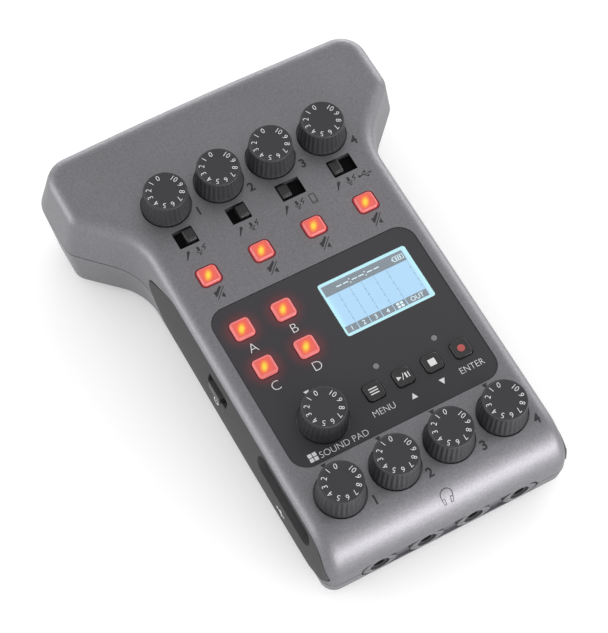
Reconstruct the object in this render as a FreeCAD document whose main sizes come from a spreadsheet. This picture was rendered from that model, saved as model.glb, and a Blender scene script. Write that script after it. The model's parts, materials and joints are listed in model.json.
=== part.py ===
import FreeCAD, Part
import math
import os
import re

import Sketcher
from FreeCAD import Placement, Rotation, Vector

# Desktop podcast recorder with four microphone inputs and four headphone outputs.
#
# Most pieces are drawn in the deck's own frame: x to the right, y to the rear, z up and
# square to the sloping top face, with its origin on that face at the middle of the row of
# gain knobs. The deck placement then tilts them and lifts them over the table, which is
# z = 0. Battery compartment, feet and underside are drawn level with the table.

SIZES = [
    # outer form, measured from the gain row
    ("wing_width", 112.0, "width over the wide rear part, at the parting line"),
    ("body_width", 80.0, "width of the narrow front part, at the parting line"),
    ("front_reach", 123.2, "gain row to the front wall"),
    ("rear_reach", 33.2, "gain row to the crown of the rear wall"),
    ("rear_bow", 1.2, "how far the rear wall falls back at its ends"),
    ("wing_start", 7.5, "gain row back to where the wing's side begins"),
    ("shoulder_start", 8.7, "gain row forward to where the shoulder leaves the body"),
    ("shoulder_round", 20.0, "plan radius where the shoulder leaves the body"),
    ("wing_round", 5.5, "plan radius of the wing's front corner"),
    ("rear_corner_round", 8.5, "plan radius of the rear corners"),
    ("roll_radius", 13.2, "rounding of the deck into the front wall"),
    ("edge_round", 4.5, "rounding of the deck's edges and the front corners"),
    ("base_round", 4.0, "rounding of the underside's edges"),
    ("body_draft", 4.2, "slope of the upper body sides, degrees"),
    ("shoulder_draft", 8.6, "slope of the upper shoulders, degrees"),
    ("wing_draft", 9.0, "slope of the upper wing sides, degrees"),
    ("rear_draft", 8.3, "slope of the upper rear wall, degrees"),
    ("body_tuck", 7.5, "slope of the lower body sides, degrees"),
    ("wing_tuck", 8.6, "slope of the lower wing sides, shoulders and rear, degrees"),
    ("front_tuck", 4.2, "slope of the lower front wall, degrees"),
    ("parting_depth", 16.5, "deck to the line where the two shells meet"),
    ("parting_gap", 0.3, "open seam between the two shells"),
    ("deck_height", 37.9, "height of the deck over the table at the gain row"),
    ("deck_tilt", 6.0, "slope of the deck, degrees"),
    # walls and joints of the case
    ("wall", 2.2, "wall of the shells"),
    ("side_wall", 3.2, "wall behind the side panels, before their recess"),
    ("lip_height", 1.6, "lip of the lower shell inside the upper shell"),
    ("lip_thickness", 1.0, "thickness of that lip"),
    ("lip_gap", 0.15, "clearance of that lip"),
    ("post_radius", 3.2, "screw posts"),
    ("rear_post_x", 41.0, "rear screw posts from the middle"),
    ("rear_post_y", 3.0, "rear screw posts behind the gain row"),
    ("front_post_x", 33.0, "front screw posts from the middle"),
    ("front_post_y", 72.0, "front screw posts ahead of the gain row"),
    ("screw_radius", 1.3, "case screw thread"),
    ("screw_fit", 0.05, "clearance of a screw in its pilot hole"),
    ("screw_clear", 0.4, "clearance of a screw in the hole that it passes"),
    ("screw_bite", 9.0, "length of a case screw inside the upper post"),
    ("screw_head_radius", 2.4, "case screw head"),
    ("screw_head", 1.8, "height of the case screw head"),
    ("screw_seat", 5.0, "depth of the head's seat below the seam"),
    ("boss_radius", 2.0, "bosses that carry the main board"),
    ("board_screw_radius", 0.8, "board screw thread"),
    ("board_screw_head", 1.1, "height of the board screw head"),
    # feet
    ("foot_radius", 4.5, "rubber feet"),
    ("foot_height", 1.5, "how far the feet stand out"),
    ("foot_seat", 0.6, "depth of the feet's pockets"),
    ("foot_gap", 0.1, "clearance of the feet in their pockets"),
    ("front_foot_x", 28.0, "front feet from the middle"),
    ("rear_foot_x", 43.0, "rear feet from the middle"),
    ("foot_setback", 13.0, "feet from the front and rear ends of the case"),
    # side panels
    ("side_margin", 3.2, "deck to the top edge of the side panels"),
    ("side_foot", 3.9, "underside to the lower edge of the side panels"),
    ("side_tip_rear_y", 13.0, "rear tip of the side panels, ahead of the gain row"),
    ("side_tip_rear_z", 11.5, "rear tip of the side panels, below the deck"),
    ("side_top_rear_y", 27.0, "where the top edge starts, ahead of the gain row"),
    ("side_low_rear_y", 30.0, "where the lower edge ends, ahead of the gain row"),
    ("side_tip_inset", 0.9, "front tip of the side panels behind the front wall"),
    ("side_tip_front_z", 13.5, "front tip of the side panels, below the deck"),
    ("side_low_front", 11.2, "where the lower edge starts, behind the front wall"),
    ("side_seat", 2.4, "depth of the side panels' seat at the parting line"),
    ("side_bulge", 54.0, "radius of the side panels' outer face"),
    ("side_proud", 0.1, "how far the side panels stand out at their crown"),
    ("side_crown", 15.5, "deck to the crown of the side panels"),
    ("side_gap", 0.3, "groove around the side panels"),
    # control panel and display
    ("panel_width", 67.0, "control panel"),
    ("panel_rear", 38.3, "rear edge of the control panel, ahead of the gain row"),
    ("panel_front", 94.3, "front edge of the control panel, ahead of the gain row"),
    ("panel_round", 5.5, "corner radius of the control panel"),
    ("panel_thickness", 1.0, "control panel"),
    ("panel_inset", 0.15, "how far the control panel lies below the deck"),
    ("panel_gap", 0.15, "gap around the control panel"),
    ("display_x", 14.35, "middle of the display from the middle of the case"),
    ("display_y", 54.1, "middle of the display, ahead of the gain row"),
    ("display_width", 29.2, "display window"),
    ("display_length", 18.8, "display window"),
    ("display_round", 0.8, "corner radius of the display window"),
    ("display_gap", 0.1, "gap around the display window"),
    ("display_ledge", 0.7, "ledge that the display window lies on"),
    ("module_margin", 2.6, "frame of the display module around the window"),
    ("module_glass", 0.9, "glass of the display module"),
    ("module_gap", 0.1, "display glass to the shell"),
    ("lamp_radius", 0.95, "status lamps"),
    ("lamp_gap", 0.05, "gap around the status lamps"),
    ("lamp_flange", 1.7, "collar of the status lamps"),
    ("lamp_left", 2.1, "left status lamp from the middle"),
    ("lamp_spacing", 19.2, "from the left status lamp to the right one"),
    ("lamp_y", 75.4, "status lamps ahead of the gain row"),
    # dials
    ("knob_pitch", 17.5, "spacing of the four channels"),
    ("headphone_row", 105.0, "headphone knobs ahead of the gain row"),
    ("pad_knob_x", 19.4, "pad level knob to the left of the middle"),
    ("pad_knob_y", 83.0, "pad level knob ahead of the gain row"),
    ("knob_height", 8.2, "knobs above the deck"),
    ("knob_radius", 7.3, "knobs at the foot of the skirt"),
    ("knob_taper", 0.75, "how much smaller the knobs are at the top"),
    ("knob_crown", 0.5, "bevel at the top of the knobs"),
    ("knob_foot", 0.5, "plain band at the foot of the knobs"),
    ("knob_sink", 0.8, "how far the knobs reach into their wells"),
    ("flute_count", 30.0, "grip flutes around a knob"),
    ("flute_radius", 0.55, "grip flutes"),
    ("flute_depth", 0.3, "grip flutes"),
    ("well_gap", 0.4, "gap between a knob and its well, beside and below it"),
    ("shaft_radius", 3.0, "knob shafts"),
    ("shaft_fit", 0.05, "running clearance of the knob shafts"),
    ("shaft_floor", 0.6, "base of a potentiometer under its shaft"),
    ("pot_width", 9.0, "potentiometer bodies"),
    ("pot_length", 10.0, "potentiometer bodies"),
    ("pot_height", 5.0, "potentiometer bodies"),
    ("bushing_wall", 0.5, "collar around the shaft"),
    ("bushing_gap", 0.1, "clearance of the collar in the shell"),
    # buttons
    ("mute_row", 27.0, "mute buttons ahead of the gain row"),
    ("mute_width", 5.9, "mute buttons"),
    ("mute_length", 5.6, "mute buttons"),
    ("mute_proud", 0.9, "mute buttons above the deck"),
    ("pad_size", 6.2, "sound pads"),
    ("pad_left", 26.0, "left column of pads, left of the middle"),
    ("pad_rear", 47.1, "rear row of pads, ahead of the gain row"),
    ("pad_pitch_x", 13.5, "spacing of the pads across"),
    ("pad_pitch_y", 13.7, "spacing of the pads along"),
    ("pad_proud", 0.9, "pads above the deck"),
    ("key_size", 5.6, "transport buttons"),
    ("key_first", 2.5, "first transport button, left of the middle"),
    ("key_pitch", 9.6, "spacing of the transport buttons"),
    ("key_row", 82.1, "transport buttons ahead of the gain row"),
    ("key_proud", 0.5, "transport buttons above the deck"),
    ("button_round", 1.2, "corner radius of the buttons"),
    ("button_gap", 0.2, "gap around the buttons"),
    ("button_travel", 0.9, "stroke of the buttons"),
    ("button_stop", 0.3, "clearance over the collar and under the stem"),
    ("button_collar", 0.8, "collar that keeps the buttons in"),
    ("button_stem", 1.5, "radius of the buttons' stems"),
    ("tact_size", 6.0, "push switches under the buttons"),
    ("tact_height", 1.4, "push switches"),
    ("tact_plunger", 0.4, "plunger of the push switches"),
    # slide switches beside the gain knobs
    ("slot_row", 12.4, "middle of the slide switches ahead of the gain row"),
    ("slot_length", 6.0, "openings of the slide switches, front to rear"),
    ("lever_width", 3.2, "switch levers, across"),
    ("lever_length", 4.3, "switch levers, front to rear"),
    ("lever_proud", 1.0, "switch levers above the deck"),
    ("lever_step", 2.0, "three-place switches, one place"),
    ("lever_throw", 2.6, "two-place switches, whole throw"),
    ("lever_gap", 0.3, "end and running clearance of the levers"),
    ("lever_plate", 0.7, "cover plate of the levers"),
    ("lever_cover", 0.6, "how far the cover plate overlaps the opening"),
    ("lever_stem", 2.0, "foot of the levers in the switch"),
    ("switch_width", 10.0, "bodies of the slide switches, across"),
    ("switch_length", 6.6, "bodies of the slide switches, front to rear"),
    ("switch_floor", 1.5, "bottom of the slide switches under the foot"),
    # power switch on the left side
    ("power_y", 57.5, "power switch ahead of the gain row"),
    ("power_z", 8.5, "power switch below the deck"),
    ("power_cap_length", 6.4, "power slider"),
    ("power_cap_height", 3.4, "power slider"),
    ("power_proud", 0.8, "power slider beyond the side panel"),
    ("power_throw", 2.0, "power slider, each way"),
    ("power_gap", 0.3, "clearance of the power slider"),
    ("power_plate", 1.0, "cover plate of the power slider"),
    ("power_cover", 0.6, "how far the cover plate overlaps its slot"),
    ("power_prong", 1.0, "finger of the slider in the power switch"),
    ("power_prong_length", 2.0, "finger of the slider in the power switch"),
    ("power_body_length", 10.0, "power switch body"),
    ("power_body_height", 2.4, "power switch body"),
    ("power_body_depth", 4.0, "power switch body"),
    # circuit boards
    ("board_depth", 8.0, "deck to the top of the main board"),
    ("board_thickness", 1.6, "circuit boards"),
    ("board_rear", 7.0, "rear edge of the main board behind the gain row"),
    ("board_front", 112.0, "front edge of the main board ahead of the gain row"),
    ("board_gap", 1.8, "main board to the side walls"),
    ("front_board_width", 62.0, "headphone board"),
    ("front_board_length", 13.0, "headphone board"),
    ("rear_board_width", 100.0, "input board"),
    ("rear_board_y", 9.0, "input board behind the gain row"),
    # headphone sockets, on the seam of the shells
    ("jack_pitch", 15.3, "spacing of the headphone sockets"),
    ("jack_bore", 1.8, "radius of the 3.5 mm sockets"),
    ("jack_nose", 2.9, "radius of the sockets' noses"),
    ("jack_gap", 0.15, "clearance of the noses in the case"),
    ("jack_width", 8.0, "socket bodies"),
    ("jack_height", 6.0, "socket bodies"),
    ("jack_length", 12.0, "socket bodies"),
    ("jack_setback", 3.7, "front wall to the socket bodies"),
    ("jack_recess", 0.7, "front wall to the face of the noses"),
    ("scoop_depth", 1.1, "shallow recess around the headphone sockets"),
    ("scoop_height", 6.6, "height of that recess"),
    ("scoop_width", 58.0, "width of that recess"),
    ("eye_width", 11.4, "raised eyes around the sockets"),
    ("eye_height", 7.6, "raised eyes around the sockets"),
    # microphone inputs
    ("input_pitch", 24.5, "spacing of the microphone sockets"),
    ("input_depth", 20.0, "deck to the middle of the microphone sockets"),
    ("input_bore", 9.65, "radius of the opening for the plug's sleeve"),
    ("input_core", 7.8, "radius of the insert that holds the contacts"),
    ("input_ring", 1.35, "wall around the opening"),
    ("input_shoulder", 0.75, "how much wider the socket bodies are than their rings"),
    ("input_mouth", 30.6, "gain row to the mouth of the sockets"),
    ("input_floor", 18.0, "depth of the opening"),
    ("input_core_inset", 0.6, "insert behind the mouth"),
    ("input_contact", 1.25, "radius of the contact holes"),
    ("input_contact_ring", 4.0, "contact holes from the socket's axis"),
    ("input_contact_depth", 14.0, "depth of the contact holes"),
    ("input_key", 1.9, "width of the key on the insert"),
    ("input_gap", 0.15, "clearance of the sockets in their panel"),
    ("input_panel_rim", 1.0, "microphone socket bodies to the edge of their panel"),
    ("input_panel_round", 2.0, "corner radius of that panel"),
    ("input_panel_thickness", 2.0, "panel around the microphone sockets"),
    ("input_panel_face", 29.4, "gain row to the face of that panel"),
    # left side: two USB-C ports behind one window
    ("usb_window_rear", 81.5, "window in the left side panel, rear end"),
    ("usb_window_front", 111.5, "window in the left side panel, front end"),
    ("usb_window_top", 4.4, "window in the left side panel, below the deck"),
    ("usb_window_height", 6.9, "window in the left side panel"),
    ("usb_first", 90.0, "first port ahead of the gain row"),
    ("usb_spacing", 12.8, "from the first port to the second"),
    ("usb_width", 8.94, "USB-C receptacle, outside"),
    ("usb_height", 3.26, "USB-C receptacle, outside"),
    ("usb_length", 6.6, "USB-C receptacle, from its mouth to its back"),
    ("usb_back", 0.8, "back wall of the receptacle"),
    ("usb_metal", 0.3, "sheet of the receptacle"),
    ("usb_tongue_width", 6.69, "tongue of the receptacle"),
    ("usb_tongue", 0.7, "thickness of the tongue"),
    ("usb_tongue_inset", 0.9, "tongue behind the mouth"),
    ("usb_gap", 0.15, "clearance of the receptacles in the shell"),
    # right side: memory card and phone socket
    ("card_y", 52.0, "middle of the card slot ahead of the gain row"),
    ("card_width", 24.6, "opening for the memory card"),
    ("card_height", 2.5, "opening for the memory card"),
    ("card_depth", 24.0, "depth of the card slot"),
    ("card_case", 0.45, "sheet of the card slot"),
    ("card_back", 1.0, "back wall of the card slot"),
    ("card_gap", 0.2, "clearance of the card slot in the shell"),
    ("card_inset", 0.3, "mouth of the card slot behind the side panel"),
    ("phone_y", 100.0, "phone socket ahead of the gain row"),
    ("phone_setback", 2.1, "side panel's seat to the body of the phone socket"),
    ("phone_nose", 0.8, "how far the phone socket's nose reaches into the side panel"),
    # battery compartment, level with the table
    ("cell_radius", 7.2, "AA cells"),
    ("cell_length", 49.5, "AA cells without the button"),
    ("cell_button", 1.0, "button of the cells"),
    ("cell_button_radius", 2.7, "button of the cells"),
    ("cell_gap", 0.3, "clearance around the cells"),
    ("cell_y", 20.0, "middle of the battery compartment behind the case's middle"),
    ("bay_wall", 1.2, "walls of the battery compartment"),
    ("contact_room", 1.6, "room for the contacts at each end of the cells"),
    ("contact_sheet", 0.4, "battery contacts"),
    ("contact_size", 6.0, "battery contacts"),
    ("cover_thickness", 1.6, "battery cover"),
    ("cover_ledge", 2.0, "rim that the battery cover rests on"),
    ("cover_gap", 0.3, "gap around the battery cover"),
    ("cover_lift", 0.1, "gap between the battery cover and its rim"),
    ("cover_round", 3.0, "corner radius of the battery cover"),
]

doc = FreeCAD.newDocument("podcast_recorder")
sheet = doc.addObject("Spreadsheet::Sheet", "Sizes")
for row, (alias, number, note) in enumerate(SIZES, start=1):
    sheet.set(f"A{row}", note)
    sheet.set(f"B{row}", str(number))
    sheet.setAlias(f"B{row}", alias)
doc.recompute()

ALIASES = {alias for alias, number, note in SIZES}
pieces = []


def bound(expression):
    """Point each alias in an expression at its cell in the sheet."""
    return re.sub(r"[a-z_]+", lambda word: "Sizes." + word[0] if word[0] in ALIASES else word[0], expression)


def size(expression):
    """Work out an expression of the sheet's aliases as a number."""
    return float(sheet.evalExpression(bound(expression)))


def slope(angle):
    """Give the sideways run per unit of height for one of the slopes in degrees."""
    return math.tan(math.radians(size(angle)))


def bind(thing, target, expression):
    """Tie one property of an object to the sheet."""
    thing.setExpression(target, bound(expression))


# Simple building blocks


def block(name, low, high, corner=None):
    """Make a box between two corners, with rounded upright edges if a radius is given."""
    box = doc.addObject("Part::Box", name)
    for side, axis, start, end in zip(("Length", "Width", "Height"), "xyz", low, high):
        bind(box, side, f"({end}) - ({start})")
        bind(box, "Placement.Base." + axis, start)
    if corner is None:
        return box
    rounded = doc.addObject("Part::Fillet", name + "_rounded")
    rounded.Base = box
    radius = size(corner)
    rounded.Edges = [(edge, radius, radius) for edge in (1, 3, 5, 7)]
    return rounded


def slab(name, centre, width, length, bottom, top, corner=None):
    """Make an upright box around a centre in plan."""
    x, y = centre
    low = (f"{x} - ({width}) / 2", f"{y} - ({length}) / 2", bottom)
    high = (f"{x} + ({width}) / 2", f"{y} + ({length}) / 2", top)
    return block(name, low, high, corner)


TURNS = {
    "up": Rotation(),
    "rear": Rotation(Vector(1, 0, 0), -90),
    "right": Rotation(Vector(0, 1, 0), 90),
}


def rod(name, start, radius, length, along="up"):
    """Make a round rod from a start point."""
    cylinder = doc.addObject("Part::Cylinder", name)
    cylinder.Placement = Placement(Vector(), TURNS[along])
    bind(cylinder, "Radius", radius)
    bind(cylinder, "Height", length)
    for axis, value in zip("xyz", start):
        bind(cylinder, "Placement.Base." + axis, value)
    return cylinder


def fuse(name, parts):
    """Join pieces into one solid."""
    whole = doc.addObject("Part::MultiFuse", name)
    whole.Shapes = parts
    whole.Refine = True
    return whole


def group(name, parts):
    """Keep separate solids together."""
    whole = doc.addObject("Part::Compound", name)
    whole.Links = parts
    return whole


def cut(name, base, tools):
    """Take one or more tools away from a base."""
    result = doc.addObject("Part::Cut", name)
    result.Base = base
    result.Tool = tools[0] if len(tools) == 1 else fuse(name + "_tools", tools)
    return result


def shaped(name, shape):
    """Hold a shape that was worked out in code."""
    feature = doc.addObject("Part::Feature", name)
    feature.Shape = shape
    return feature


def keep(name, thing, placement):
    """Name a finished sub-part and put it in its place."""
    if thing.TypeId in ("Part::Box", "Part::Cylinder", "Part::Fillet"):
        thing = group(name, [thing])
    thing.Label = name
    thing.Placement = placement
    pieces.append(thing)
    return thing


# Frames and outlines


def underside(y, height="foot_height"):
    """Give the deck's z of the underside at one of the deck's y."""
    tilt = math.radians(size("deck_tilt"))
    return (size(height) - size("deck_height")) / math.cos(tilt) - y * math.tan(tilt)


def case_span():
    """Give the y of the front and rear ends of the tilted case, before it is centred."""
    tilt = math.radians(size("deck_tilt"))
    roll = size("roll_radius")
    front = -size("front_reach - roll_radius") * math.cos(tilt) + roll * math.sin(tilt) - roll
    rear = size("rear_reach") * math.cos(tilt) + size("parting_depth") * math.sin(tilt)
    return front, rear


front_end, rear_end = case_span()
case_shift = -(front_end + rear_end) / 2
case_length = rear_end - front_end
deck = Placement(Vector(0, case_shift, size("deck_height")), Rotation(Vector(1, 0, 0), size("deck_tilt")))
level = Placement()


def moved_sides(corners, distances):
    """Move each side of a polygon inward by its own distance."""
    lines = []
    for i, corner in enumerate(corners):
        start = Vector(*corner, 0)
        along = (Vector(*corners[(i + 1) % len(corners)], 0) - start).normalize()
        lines.append((start + Vector(-along.y, along.x, 0) * distances[i], along))
    result = []
    for i, (q, v) in enumerate(lines):
        p, u = lines[i - 1]
        cross = u.x * v.y - u.y * v.x
        reach = ((q.x - p.x) * v.y - (q.y - p.y) * v.x) / cross
        result.append((p.x + u.x * reach, p.y + u.y * reach))
    return result


def rounded_wire(points, radii):
    """Join points in a loop with lines and tangent arcs; a zero radius leaves a sharp corner."""
    starts, middles, ends = [], [], []
    for i, point in enumerate(points):
        before = (points[i - 1] - point).normalize()
        after = (points[(i + 1) % len(points)] - point).normalize()
        half = before.getAngle(after) / 2
        inward = (before + after).normalize()
        starts.append(point + before * (radii[i] / math.tan(half)))
        ends.append(point + after * (radii[i] / math.tan(half)))
        middles.append(point + inward * (radii[i] / math.sin(half) - radii[i]))
    edges = []
    for i, start in enumerate(starts):
        if radii[i] > 0:
            edges.append(Part.Arc(start, middles[i], ends[i]).toShape())
        following = starts[(i + 1) % len(starts)]
        edges.append(Part.LineSegment(ends[i], following).toShape())
    return Part.Wire(edges)


# The two shells


def plan_wire(inward, corner, height, shrink):
    """Draw the case's outline at one height.

    inward holds the distances of body, shoulder, wing, rear and front from the outline at
    the parting line; shrink is how much of that comes from the wall, so that the rounded
    corners stay concentric.
    """
    wing, body = size("wing_width / 2"), size("body_width / 2")
    front, rear = -size("front_reach"), size("rear_reach")
    ends = rear - size("rear_bow")
    corners = [(body, front), (body, -size("shoulder_start")), (wing, size("wing_start")), (wing, ends)]
    corners += [(0, rear)] + [(-x, y) for x, y in reversed(corners)]
    side, shoulder, wing_side, back, nose = inward
    distances = [side, shoulder, wing_side, back, back, wing_side, shoulder, side, nose]
    hollow = size("shoulder_round") + shrink
    tip = size("wing_round") - shrink
    tail = size("rear_corner_round") - shrink
    crown = 1200.0
    radii = [corner, hollow, tip, tail, crown, tail, tip, hollow, corner]
    return rounded_wire([Vector(x, y, height) for x, y in moved_sides(corners, distances)], radii)


def insets(run, slopes, walls):
    """Add the walls to the sideways runs of body, shoulder, wing, rear and front."""
    return [run * slope(angle) + thickness if angle else thickness for angle, thickness in zip(slopes, walls)]


UPPER_SLOPES = ("body_draft", "shoulder_draft", "wing_draft", "rear_draft", None)
LOWER_SLOPES = ("body_tuck", "wing_tuck", "wing_tuck", "wing_tuck", "front_tuck")


def wall_set(thickness):
    """List the walls of body, shoulder, wing, rear and front for the hollow in a shell."""
    if thickness == 0:
        return [0.0] * 5
    return [size("side_wall") - size("wall") + thickness] + [thickness] * 4


def upper_form(thickness, bottom):
    """Make the solid form of the upper shell, or of its hollow if a wall is given."""
    parting = size("parting_depth")
    walls = wall_set(thickness)
    low = plan_wire(insets(parting - bottom, UPPER_SLOPES, walls), 0, -bottom, thickness)
    high = plan_wire(insets(parting - thickness, UPPER_SLOPES, walls), 0, -thickness, thickness)
    form = Part.makeLoft([low, high], True, True)
    front, roll, rear = -size("front_reach"), size("roll_radius"), size("rear_reach") + 5
    fall = roll - thickness
    back = front + roll
    arc = Part.Arc(
        Vector(0, back - fall, -roll),
        Vector(0, back - fall * math.cos(math.pi / 4), -roll + fall * math.sin(math.pi / 4)),
        Vector(0, back, -thickness),
    )
    points = [Vector(0, back, -thickness), Vector(0, rear, -thickness), Vector(0, rear, -bottom - 1),
              Vector(0, back - fall, -bottom - 1), Vector(0, back - fall, -roll)]
    lines = [Part.LineSegment(a, b).toShape() for a, b in zip(points, points[1:])]
    profile = Part.Face(Part.Wire([arc.toShape()] + lines))
    half = size("wing_width")
    profile.translate(Vector(-half, 0, 0))
    return form.common(profile.extrude(Vector(2 * half, 0, 0))).Solids[0]


def rounded_form(form, edges, radius):
    """Round some edges of a form, and close what the rounding leaves open by a hair."""
    radius = min(size(radius), 2 * size("wall") + 0.1)
    result = form.makeFillet(radius, edges)
    if not result.isValid():
        result.fix(1e-6, 1e-6, 1e-4)
    return result.Solids[0]


def deck_edges(form):
    """Pick the edges around the deck, down the sides of the roll and the front corners."""
    roll_start = size("roll_radius - front_reach") + 0.1
    picked = []
    for edge in form.Edges:
        box = edge.BoundBox
        around = box.ZMin > -0.01 and not (box.YLength < 0.01 and box.YMax < roll_start)
        beside = box.YMax < roll_start and box.XLength < 5 and box.ZMin > -size("parting_depth") - 0.1
        if around or (beside and box.ZLength > 0.5):
            picked.append(edge)
    return picked


def lower_form(thickness, top):
    """Make the solid form of the lower shell, or of its hollow if a wall is given."""
    parting = size("parting_depth")
    bottom = -underside(size("rear_reach")) + 4
    walls = wall_set(thickness)
    corner = max(size("edge_round") - thickness, 0.5)
    high = plan_wire(insets(top - parting, LOWER_SLOPES, walls), corner, -top, thickness)
    low = plan_wire(insets(bottom - parting, LOWER_SLOPES, walls), corner, -bottom, thickness)
    form = Part.makeLoft([high, low], True, True)
    reach = 2 * size("front_reach + rear_reach")
    floor = Part.makeBox(2 * reach, 2 * reach, reach, Vector(-reach, -reach, -reach))
    floor.Placement = Placement(
        Vector(0, 0, underside(0) + thickness / math.cos(math.radians(size("deck_tilt")))),
        Rotation(Vector(1, 0, 0), -size("deck_tilt")),
    )
    return form.cut(floor).Solids[0]


def base_edges(form):
    """Pick the edges around the underside."""
    picked = []
    for edge in form.Edges:
        points = edge.discretize(3)
        if all(abs(point.z - underside(point.y)) < 0.001 for point in points):
            picked.append(edge)
    return picked


def side_outline(grow):
    """Draw a side panel's outline in the y-z plane, grown by a gap."""
    margin = size("side_margin")
    roll = size("roll_radius")
    tip = Vector(-size("front_reach - side_tip_inset"), -size("side_tip_front_z"), 0)
    centre = Vector(roll - size("front_reach"), -roll, 0)
    arm = tip - centre
    turn = math.atan2(arm.y, arm.x) - math.acos((roll - margin) / arm.Length)
    touch = centre + Vector(math.cos(turn), math.sin(turn), 0) * (roll - margin)
    lift = (touch - tip) * ((-margin - tip.y) / (touch.y - tip.y))
    front_y = -size("front_reach - side_low_front")
    rear_y = -size("side_low_rear_y")
    corners = [
        (front_y, underside(front_y) + size("side_foot")),
        (rear_y, underside(rear_y) + size("side_foot")),
        (-size("side_tip_rear_y"), -size("side_tip_rear_z")),
        (-size("side_top_rear_y"), -margin),
        ((tip + lift).x, -margin),
        (tip.x, tip.y),
    ]
    radii = [10.0, 10.0, 3.0, 12.0, roll - margin, 2.0]
    corners = moved_sides(corners, [-grow] * len(corners))
    points = [Vector(0, y, z) for y, z in corners]
    return rounded_wire(points, [radius + grow for radius in radii])


def side_prism(side, grow):
    """Extrude a side panel's outline outward from its seat."""
    seat = size("body_width / 2 - side_seat")
    prism = Part.Face(side_outline(grow)).extrude(Vector(side * 10, 0, 0))
    prism.translate(Vector(side * seat, 0, 0))
    return prism


def eye_form(x, width, height, depth):
    """Make a pointed oval block across the front wall, around one spot on the seam."""
    front, seam = -size("front_reach"), -size("parting_depth")
    left, right = Vector(x - width / 2, front - 3, seam), Vector(x + width / 2, front - 3, seam)
    top = Part.Arc(left, Vector(x, front - 3, seam + height / 2), right).toShape()
    low = Part.Arc(right, Vector(x, front - 3, seam - height / 2), left).toShape()
    return Part.Face(Part.Wire([top, low])).extrude(Vector(0, 3 + depth, 0))


def scoop_form():
    """Make the recess around the headphone sockets, with the raised eyes left standing."""
    width, height = size("scoop_width"), size("scoop_height")
    front, seam, depth = -size("front_reach"), -size("parting_depth"), size("scoop_depth")
    corners = [(-width / 2, seam - height / 2), (width / 2, seam - height / 2),
               (width / 2, seam + height / 2), (-width / 2, seam + height / 2)]
    points = [Vector(x, front - 3, z) for x, z in corners]
    wire = rounded_wire(points, [height / 2 - 0.05] * 4)
    scoop = Part.Face(wire).extrude(Vector(0, 3 + depth, 0))
    for place in CHANNELS:
        eye = eye_form(place * size("jack_pitch"), size("eye_width"), size("eye_height"), depth + 1)
        scoop = scoop.cut(eye)
    return scoop


CHANNELS = (-1.5, -0.5, 0.5, 1.5)
SIDES = {"left": -1, "right": 1}

parting = "-parting_depth"
board_top = "-board_depth"
board_bottom = "-board_depth - board_thickness"
jack_front = "-front_reach + jack_setback"


def post_places():
    """List the plan positions of the four screw posts."""
    rear = [(f"{side} * rear_post_x", "rear_post_y") for side in (-1, 1)]
    front = [(f"{side} * front_post_x", "-front_post_y") for side in (-1, 1)]
    return rear + front


def boss_places():
    """List the plan positions of the bosses that carry the main board."""
    beside = [(f"{side} * front_post_x", y)
              for side in (-1, 1) for y in ("board_rear - 4", "-panel_rear + 2.3")]
    ahead = [(f"{side} * knob_pitch", "-panel_front + 0.3") for side in (-1, 1)]
    return beside + ahead


def knob_places():
    """List each knob's name, plan position and rest angle."""
    places = []
    for number, place in enumerate(CHANNELS, start=1):
        places.append((f"gain_knob_{number}", (f"{place} * knob_pitch", "0"), 0))
    for number, place in enumerate(CHANNELS, start=1):
        places.append((f"headphone_knob_{number}", (f"{place} * knob_pitch", "-headphone_row"), -9))
    places.append(("pad_volume_knob", ("-pad_knob_x", "-pad_knob_y"), 0))
    return places


def button_places():
    """List each button's name, plan position, width, length and height above the deck."""
    places = []
    for number, place in enumerate(CHANNELS, start=1):
        spot = (f"{place} * knob_pitch", "-mute_row")
        places.append((f"mute_button_{number}", spot, "mute_width", "mute_length", "mute_proud"))
    for number, letter in enumerate("abcd"):
        spot = (f"-pad_left + {number % 2} * pad_pitch_x", f"-pad_rear - {number // 2} * pad_pitch_y")
        places.append((f"sound_pad_{letter}", spot, "pad_size", "pad_size", "pad_proud"))
    for number, name in enumerate(("menu", "play", "stop", "record")):
        spot = (f"-key_first + {number} * key_pitch", "-key_row")
        places.append((f"{name}_button", spot, "key_size", "key_size", "key_proud"))
    return places


def lever_places():
    """List each slide switch's number, column, throw and rest offset in its slot."""
    throws = ["lever_throw", "lever_throw", "2 * lever_step", "2 * lever_step"]
    rests = ["lever_throw / 2", "lever_throw / 2", "-lever_step", "-lever_step"]
    return [(number, f"{place} * knob_pitch", throw, rest)
            for number, place, throw, rest in zip((1, 2, 3, 4), CHANNELS, throws, rests)]


def input_places():
    """List the columns of the microphone sockets."""
    return [f"{place} * input_pitch" for place in CHANNELS]


def usb_places():
    """List the y of the two USB-C ports."""
    return ["-usb_first", "-usb_first - usb_spacing"]


def side_bar(name, low, high, corner):
    """Make a bar that lies across the case, with its four long edges rounded."""
    bar = block(name, low, high)
    rounded = doc.addObject("Part::Fillet", name + "_rounded")
    rounded.Base = bar
    radius = size(corner)
    rounded.Edges = [(edge, radius, radius) for edge in (9, 10, 11, 12)]
    return rounded


def levelled(name, parts):
    """Carry pieces that are drawn level with the table into the deck's frame."""
    carried = group(name, parts)
    carried.Placement = deck.inverse()
    return carried


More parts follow.
